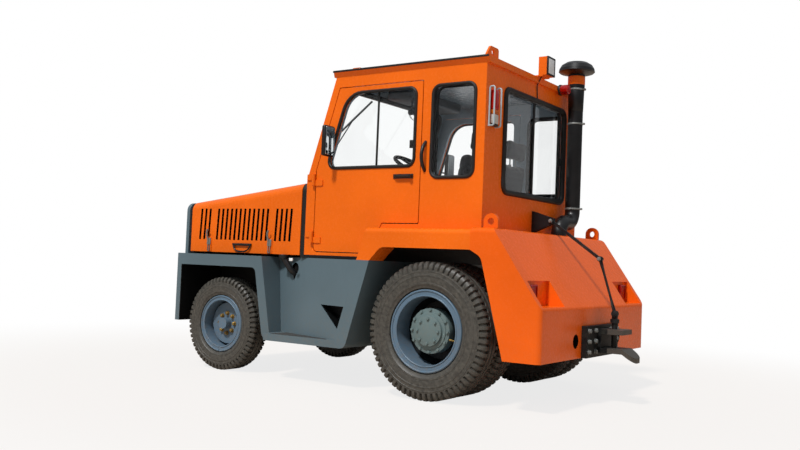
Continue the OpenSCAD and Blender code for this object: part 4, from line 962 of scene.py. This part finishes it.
# pale grey with a dull sheen
galvanised = coated("hot dip galvanised rod", "#AEBDC3", dust_most=0.1, rough=0.5)
cab_floor_z = 1.0
pocket_lens = [corner.co for corner in parts["rear_lamps"].data.vertices
    if corner.co.z < cab_floor_z and corner.co.y > 0]
pocket_box = [[end(corner[axis] for corner in pocket_lens) for axis in range(3)] for end in (min, max)]
lamp_rear = -1.081
lamp_inner = 0.690
lamp_outer = 0.752
wall_rear = -1.043
lens_gap = 0.001
base_tall = 0.016
base_box = ((lamp_rear, lamp_inner, lamp_foot - base_tall), (wall_rear, lamp_outer, lamp_foot))
guard_r = 0.006
guard_front = wall_rear - guard_r
guard_rear = lamp_rear - 0.006
guard_low = lamp_foot - base_tall
guard_high = lamp_head + base_tall
lens_ends = (0.0, amber_from, red_from, 1.0)
lamps = []
for hand, way in hands:
    for below, above in zip(lens_ends, lens_ends[1:]):
        block = ((lamp_rear, lamp_inner, lamp_foot + below * lamp_tall + lens_gap),
            (wall_rear, lamp_outer, lamp_foot + above * lamp_tall - lens_gap))
        lamps.append(boxed("lamp", *mirrored(block, way), 0.007))
    pocket_lamp = boxed("lamp", *mirrored(pocket_box, way), 0.006)
    stepped(pocket_lamp, faces_rear, (0.008, (0.004, 0, 0)))
    lamps.append(pocket_lamp)
    loops = []
    for y in (0.675, 0.776):
        route = ((wall_rear, y, guard_low), (guard_rear, y, guard_low), (guard_rear, y, guard_high),
            (guard_front, y, guard_high), (guard_front, y, guard_low))
        loops.append(wire("guard", mirrored(route, way), guard_r, 0.014))
    fitted(joined(loops, "lamp_guard_" + hand), galvanised)
    fitted(boxed("lamp_base_" + hand, *mirrored(base_box, way), 0.004), black_plastic)
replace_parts(fitted(joined(lamps, "stacked_lamps"), stack), "rear_lamps")


# Intake: a moulded rain cap on an orange pipe stub, and below it a moulded rubber hose with a boot
# over its end. Three steel bands with screws clamp it.
# deep black with a soft sheen
hose_rubber = moulded("black EPDM rubber", "#08080A", 0.003, 0.36)
finish(hose_rubber, "intake_hose", "intake_cap")
cap_low, cap_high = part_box("intake_cap")
hose_x = (cap_low[0] + cap_high[0]) / 2
hose_y = (cap_low[1] + cap_high[1]) / 2
hose_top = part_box("intake_hose")[1][2]
stub = drum("intake_stub", 0.0695, 0.070, (hose_x, hose_y, hose_top + 0.055), edge=0.003)
fitted(stub, orange_enamel)
clamps = []
for z, radius in ((hose_top - 0.018, 0.068), (hose_top - 0.30, 0.0635), (1.45, 0.0635)):
    clamps.append(drum("band", radius, 0.014, (hose_x, hose_y, z), edge=0.002))
    clamps.append(boxed("screw", (hose_x - 0.082, hose_y - 0.012, z - 0.008),
        (hose_x - 0.058, hose_y + 0.012, z + 0.008), 0.003))
fitted(joined(clamps, "hose_clamps"), zinc)
boot = drum("hose_boot", 0.066, 0.20, (hose_x, hose_y, hose_top - 0.10))
pick(boot, lambda face: face.normal.z < -0.9)
bpy.ops.transform.resize(value=(0.92, 0.92, 1))
bpy.ops.object.mode_set(mode="OBJECT")
softened(boot, 0.004)
fitted(boot, hose_rubber)


# Mirrors and door handles: a rounded black housing with its glass facing the rear on two bent
# arms, and a pull handle with a push button. All are moulded black plastic over steel.
mirror_glass, tree, shader, place = blank("silvered glass")
# a clear reflection with a few dull smears
smear_size = 0.05
smear = add(tree, "ShaderNodeTexNoise", {"Vector": place, "Scale": 1 / smear_size, "Detail": 4})
film = add(tree, "ShaderNodeMapRange", {"Value": smear.outputs[0], "To Min": 0.0, "To Max": 0.12})
tree.links.new(film.outputs[0], shader.inputs["Roughness"])
shader.inputs["Metallic"].default_value = 1
shader.inputs["Base Color"].default_value = linear("#DCE1E3")
cab_half = 0.820
fittings_low, fittings_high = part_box("door_fittings_left")
mirror_t = 0.040
mirror_h = 0.240
mirror_w = 0.130
glass_inset = 0.012
mirror_x = fittings_high[0] - mirror_t
mirror_y = fittings_high[1] - mirror_w
mirror_z = fittings_high[2] - mirror_h
housing_box = ((0, 0, 0), (mirror_t, mirror_w, mirror_h))
glass_box = ((-0.003, glass_inset, glass_inset), (0.001, mirror_w - glass_inset, mirror_h - glass_inset))
arm_route = ((0.040, 0, 0), (0.040, 0.025, 0), (0.020, mirror_y + 0.02 - cab_half, 0))
arm_heights = [mirror_z + share * mirror_h for share in (0.25, 0.75)]
handle_foot = (fittings_low[0], cab_half, fittings_low[2])
grip_route = ((0.012, 0, 0.013), (0.012, 0.024, 0.013), (0.150, 0.024, 0.013), (0.150, 0, 0.013))
grip_plate = ((0, 0, -0.004), (0.175, 0.008, 0.030))
button_at = (0.012, 0.034, 0.013)
for hand, way in hands:
    door = "door_" + hand
    mirror_foot = (mirror_x, mirror_y, mirror_z)
    housing = boxed("mirror_housing_" + hand, *mirrored(housing_box, way, mirror_foot), 0.018, 4)
    arms = [wire("arm", mirrored(arm_route, way, (mirror_x, cab_half, z)), 0.007, 0.008) for z in arm_heights]
    fitted(joined([housing] + arms, "mirror_" + hand), black_plastic, door)
    face = boxed("mirror_glass_" + hand, *mirrored(glass_box, way, mirror_foot), 0.002)
    fitted(face, mirror_glass, door)
    grip = wire("grip", mirrored(grip_route, way, handle_foot), 0.010, 0.010)
    plate = boxed("plate", *mirrored(grip_plate, way, handle_foot), 0.003)
    button = drum("lock", 0.013, 0.012, mirrored([button_at], way, handle_foot)[0], along_y, 24, 0.002)
    handle = joined([grip, plate, button], "door_handle_" + hand)
    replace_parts(fitted(handle, black_plastic, door), "door_fittings_" + hand)


# Engine dress: a ribbed aluminium rocker cover with an oil cap, a steel air cleaner and a rubber
# radiator hose on top of the block, and a finned radiator core ahead of it, all under the hood.
block_low, block_high = [Vector(corner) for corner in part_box("engine_block")]
block_x = (block_low.x + block_high.x) / 2
block_top = block_high.z
rocker_y = -0.08
# pale grey with a dull grain
cover_alloy = iron("cast aluminium", "#8E9294", "#5F5B54", grain=0.003)
rocker = started(bpy.ops.mesh.primitive_cube_add, "rocker", size=1,
    location=(block_x, rocker_y, block_top + 0.030), scale=(0.54, 0.17, 0.06))
stepped(rocker, lambda face: face.normal.z > 0.9, (0.022, (0, 0, 0.018)))
softened(rocker, 0.008, 3)
ribs = [boxed("rib", (block_x + x - 0.006, rocker_y - 0.055, block_top + 0.070),
    (block_x + x + 0.006, rocker_y + 0.055, block_top + 0.084), 0.002)
    for x in (-0.20, -0.12, -0.04, 0.04, 0.12)]
oil_cap = drum("oil_cap", 0.028, 0.030, (block_x + 0.195, rocker_y, block_top + 0.090), sides=24, edge=0.005)
fitted(joined([rocker, oil_cap] + ribs, "rocker_cover"), cover_alloy)
cleaner = drum("air_cleaner", 0.070, 0.36, (block_x, 0.115, block_top + 0.074), along_x)
pick(cleaner, lambda face: abs(face.normal.x) > 0.9)
bpy.ops.mesh.inset(thickness=0.012)
bpy.ops.mesh.extrude_region_shrink_fatten(TRANSFORM_OT_shrink_fatten={"value": 0.010})
bpy.ops.object.mode_set(mode="OBJECT")
softened(cleaner, 0.004)
fitted(cleaner, chassis_enamel)
core_rear = 1.630
core_front = 1.700
core_half = 0.36
outlet_x = block_high.x - 0.06
hose_route = [(outlet_x, rocker_y, block_top - 0.01), (outlet_x, rocker_y, block_top + 0.04),
    (block_high.x + 0.10, rocker_y, block_top + 0.03), (core_rear + 0.010, rocker_y, block_top - 0.04)]
fitted(wire("radiator_hose", hose_route, 0.026, 0.04), hose_rubber)
core = boxed("radiator", (core_rear, -core_half, 0.975), (core_front, core_half, 1.270), 0.008)
tanks = [boxed("tank", (core_rear - 0.008, -core_half - 0.01, z),
    (core_front + 0.008, core_half + 0.01, z + 0.045), 0.010) for z in (0.968, 1.250)]
fin_pitch = 0.02
fin_half = 0.003
fin_places = [-0.35 + fin_pitch * count for count in range(36)]
fins = [boxed("fin", (core_rear - 0.004, y - fin_half, 1.01),
    (core_front + 0.004, y + fin_half, 1.25), 0.001, 1) for y in fin_places]
fitted(joined([core] + tanks + fins, "radiator"), chassis_enamel)


# Hood catches: two steel over-centre clamps on each leaf that hook under the deck, and a black
# drop handle between them to lift the leaf by.
leaf_low, leaf_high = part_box("hood_fittings_left")
catch_half = 0.020
catch_places = (leaf_low[0] + catch_half, leaf_high[0] - catch_half)
clamp_box = ((-0.021, 0, 0.062), (0.021, 0.016, 0.118))
hook_route = ((-0.010, 0.012, 0.07), (-0.010, 0.012, 0.008), (0.010, 0.012, 0.008), (0.010, 0.012, 0.07))
lever_route = ((0, 0.014, 0.085), (0.006, 0.024, 0.125), (0.004, 0.036, 0.165), (-0.006, 0.034, 0.190))
strap_box = ((-0.026, 0, 0.002), (0.026, 0.006, 0.130))
grip_foot = (1.215, cab_half, leaf_low[2] + 0.069)
drop_route = ((-0.095, 0.012, 0), (-0.087, 0.014, -0.035), (-0.045, 0.015, -0.058), (0.045, 0.015, -0.058),
    (0.087, 0.014, -0.035), (0.095, 0.012, 0))
rail_box = ((-0.105, 0, -0.010), (0.105, 0.018, 0.010))
for hand, way in hands:
    leaf = "hood_" + hand
    clasps = []
    straps = []
    for x in catch_places:
        catch_foot = (x, cab_half, leaf_low[2])
        clasps.append(boxed("body", *mirrored(clamp_box, way, catch_foot), 0.005))
        clasps.append(wire("hook", mirrored(hook_route, way, catch_foot), 0.004, 0.006))
        clasps.append(wire("lever", mirrored(lever_route, way, catch_foot), 0.008, 0.012))
        straps.append(boxed("plate", *mirrored(strap_box, way, catch_foot), 0.002))
    fitted(joined(clasps, "hood_catches_" + hand), zinc, leaf)
    fitted(joined(straps, "catch_plates_" + hand), orange_enamel, leaf)
    lift = wire("lift", mirrored(drop_route, way, grip_foot), 0.007, 0.025)
    rail = boxed("rail", *mirrored(rail_box, way, grip_foot), 0.005)
    handle = fitted(joined([lift, rail], "hood_handle_" + hand), black_plastic, leaf)
    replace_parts(handle, "hood_fittings_" + hand)


# Hood lining: black felt glued inside each leaf behind the louvres, a dark sheet put there as
# painted shade. It makes the slots look black.
# fibrous black without any shine
felt = moulded("black felt", "#0C0C0D", 0.003, 0.95, bump=0.6)
felt_box = ((0.670, 0.7880, 1.060), (1.760, 0.7955, 1.365))
for hand, way in hands:
    fitted(boxed("hood_felt_" + hand, *mirrored(felt_box, way), 0.003), felt, "hood_" + hand)


# Front plate fittings: hexagon bolts through the thick nose plate, and a blank number plate of
# pressed sheet in white enamel below them.
nose_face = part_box("front_plate")[1][0]
nose_bolts = [hex_head("bolt", (nose_face, way * y, z), (1, 0, 0), 0.034, 0.020)
    for way in (1, -1) for y in (0.42, 0.78) for z in (0.52, 0.86)]
fitted(joined(nose_bolts, "nose_bolts"), zinc)
plate_t = 0.006
plate = started(bpy.ops.mesh.primitive_cube_add, "number_plate", size=1,
    location=(nose_face + plate_t / 2, 0, 0.60), scale=(plate_t, 0.44, 0.14))
stepped(plate, lambda face: face.normal.x > 0.9, (0.008, (-0.002, 0, 0)))
softened(plate, 0.0015)
# plain off-white with a soft gloss
blank_white = moulded("white stove enamel", "#D9DAD6", 0.003, 0.4)
fitted(plate, blank_white)


# Headlamps: a domed, fluted glass in a pressed and chromed steel rim, set into the nose panel on
# each side.
lamp_low, lamp_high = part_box("headlamps")
lamp_face = lamp_high[0]
lamp_r = (lamp_high[2] - lamp_low[2]) / 2
lamp_z = (lamp_high[2] + lamp_low[2]) / 2
shell_t = 0.002
# the same lens material, whitened as painted light so that the glass reads bright
finish(clear_lens, "headlamps")
# bright and mirror-like, slightly cloudy
chrome = iron("chrome plate", "#C9CCCE", "#A8ABAC", grain=0.002)


def shelled(piece, cut):
    """A thin shell: the piece with all behind the cut taken away and its wall given a thickness."""
    pick(piece, lambda face: face.center.x < cut)
    bpy.ops.mesh.delete(type="FACE")
    bpy.ops.object.mode_set(mode="OBJECT")
    applied(piece, "SOLIDIFY", thickness=shell_t, offset=-1)
    return piece


for hand, way in hands:
    lamp_at = (lamp_face, way * (lamp_high[1] - lamp_r), lamp_z)
    rim = started(bpy.ops.mesh.primitive_torus_add, "headlamp_rim_" + hand, major_radius=lamp_r,
        minor_radius=0.008, major_segments=56, minor_segments=10, location=lamp_at, rotation=along_x)
    fitted(shelled(rim, lamp_face - 0.0005), chrome)
    dome = started(bpy.ops.mesh.primitive_uv_sphere_add, "headlamp_lens_" + hand, segments=40, ring_count=20,
        radius=lamp_r - 0.004, location=lamp_at, scale=(0.12, 1, 1))
    fitted(shelled(dome, lamp_face + 0.0003), clear_lens)


# Step and filler: a strip of dark grit on the step's edge, and a black filler neck with a
# screw cap and a blank tag standing out of the tank's recess.
# sandy dark grey without shine
grit = moulded("anti-slip grit", "#3B3A38", 0.004, 0.95, bump=0.9)
# flat white with a slight gloss
vinyl = moulded("white vinyl", "#E6E6E2", 0.002, 0.5)
step_top = 0.3602
tread_t = 0.003
tread_corners = [(x, y, step_top) for x, y in ((0.16, 0.972), (0.70, 0.812), (0.16, 0.990), (0.70, 0.990))]
neck_route = ((0.655, 0.74, 0.820), (0.672, 0.815, 0.855), (0.735, 0.840, 0.955))
cap_at = (0.738, 0.842, 0.968)
tag_box = ((0.592, 0.892, 0.935), (0.627, 0.900, 0.958))
for hand, way in hands:
    tread = started(bpy.ops.mesh.primitive_plane_add, "step_tread_" + hand, size=1)
    for vertex, corner in zip(tread.data.vertices, mirrored(tread_corners, way)):
        vertex.co = corner
    pick(tread, lambda face: True)
    bpy.ops.mesh.normals_make_consistent(inside=False)
    bpy.ops.mesh.extrude_region_move(TRANSFORM_OT_translate={"value": (0, 0, tread_t)})
    bpy.ops.mesh.select_all(action="SELECT")
    bpy.ops.mesh.normals_make_consistent(inside=False)
    bpy.ops.object.mode_set(mode="OBJECT")
    softened(tread, 0.001)
    fitted(tread, grit)
    neck = wire("neck", mirrored(neck_route, way), 0.024, 0.03)
    cap = drum("cap", 0.036, 0.034, mirrored([cap_at], way)[0], sides=24, edge=0.005)
    fitted(joined([neck, cap], "filler_neck_" + hand), black_plastic)
    fitted(boxed("filler_tag_" + hand, *mirrored(tag_box, way), 0.001), vinyl)


# Hitch: a welded jaw on a bolted plate, painted black and worn to steel where rings rub, with a
# turned pin lifted by a lever and rods on bolted eyes.
# near-black with a grey shine on the rubbed places
worn = iron("worn black steel", "#242527", "#3E3D3A", grain=0.003)
finish(worn, "pin_lever", "hitch_pin")
rubbed = iron("rubbed black steel", "#1C1D1F", "#34332F", grain=0.003)
second_coat(rubbed, "#5C5852", within(x=(None, -1.705)))
finish(rubbed, "hitch_jaw")
rod_low, rod_high = [Vector(corner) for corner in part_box("pin_rod")]
knee = Vector((rod_high.x - 0.020, 0, rod_high.z - 0.020))
foot = Vector((rod_low.x + 0.028, 0, rod_low.z + 0.028))
down = (foot - knee).normalized()
cheek_y = 0.018
middle_y = 0.0065
links = []
for way in (1, -1):
    wide = Vector((0, way * cheek_y, 0))
    slim = Vector((0, way * middle_y, 0))
    links.append(wire("bar", [knee + wide, knee + down * 0.05 + wide, knee + down * 0.10 + slim,
        foot - down * 0.10 + slim, foot - down * 0.05 + wide, foot + wide], 0.0065, 0.02))
    for end, size in ((knee, 0.018), (foot, 0.022)):
        links.append(drum("eye", size, 0.011, end + wide, along_y, 28, 0.002))
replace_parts(fitted(joined(links, "pull_rod"), worn, "pin_rod"), "pin_rod")
plate_face = -1.635
bolts = [hex_head("bolt", (plate_face, way * y, z), (-1, 0, 0), 0.026, 0.016)
    for way in (1, -1) for y in (0.270, 0.150) for z in (0.380, 0.455, 0.530)]
fitted(joined(bolts, "hitch_bolts"), zinc)
lug_face = 0.026
lever_ends = ((-1.200, 1.320, "chassis", "pivot_bolts"), (-1.595, 1.044, "pin_lever", "knee_bolts"))
for x, z, body, name in lever_ends:
    pair = [hex_head("bolt", (x, way * lug_face, z), (0, way, 0), 0.022, 0.010) for way in (1, -1)]
    fitted(joined(pair, name), zinc, body)
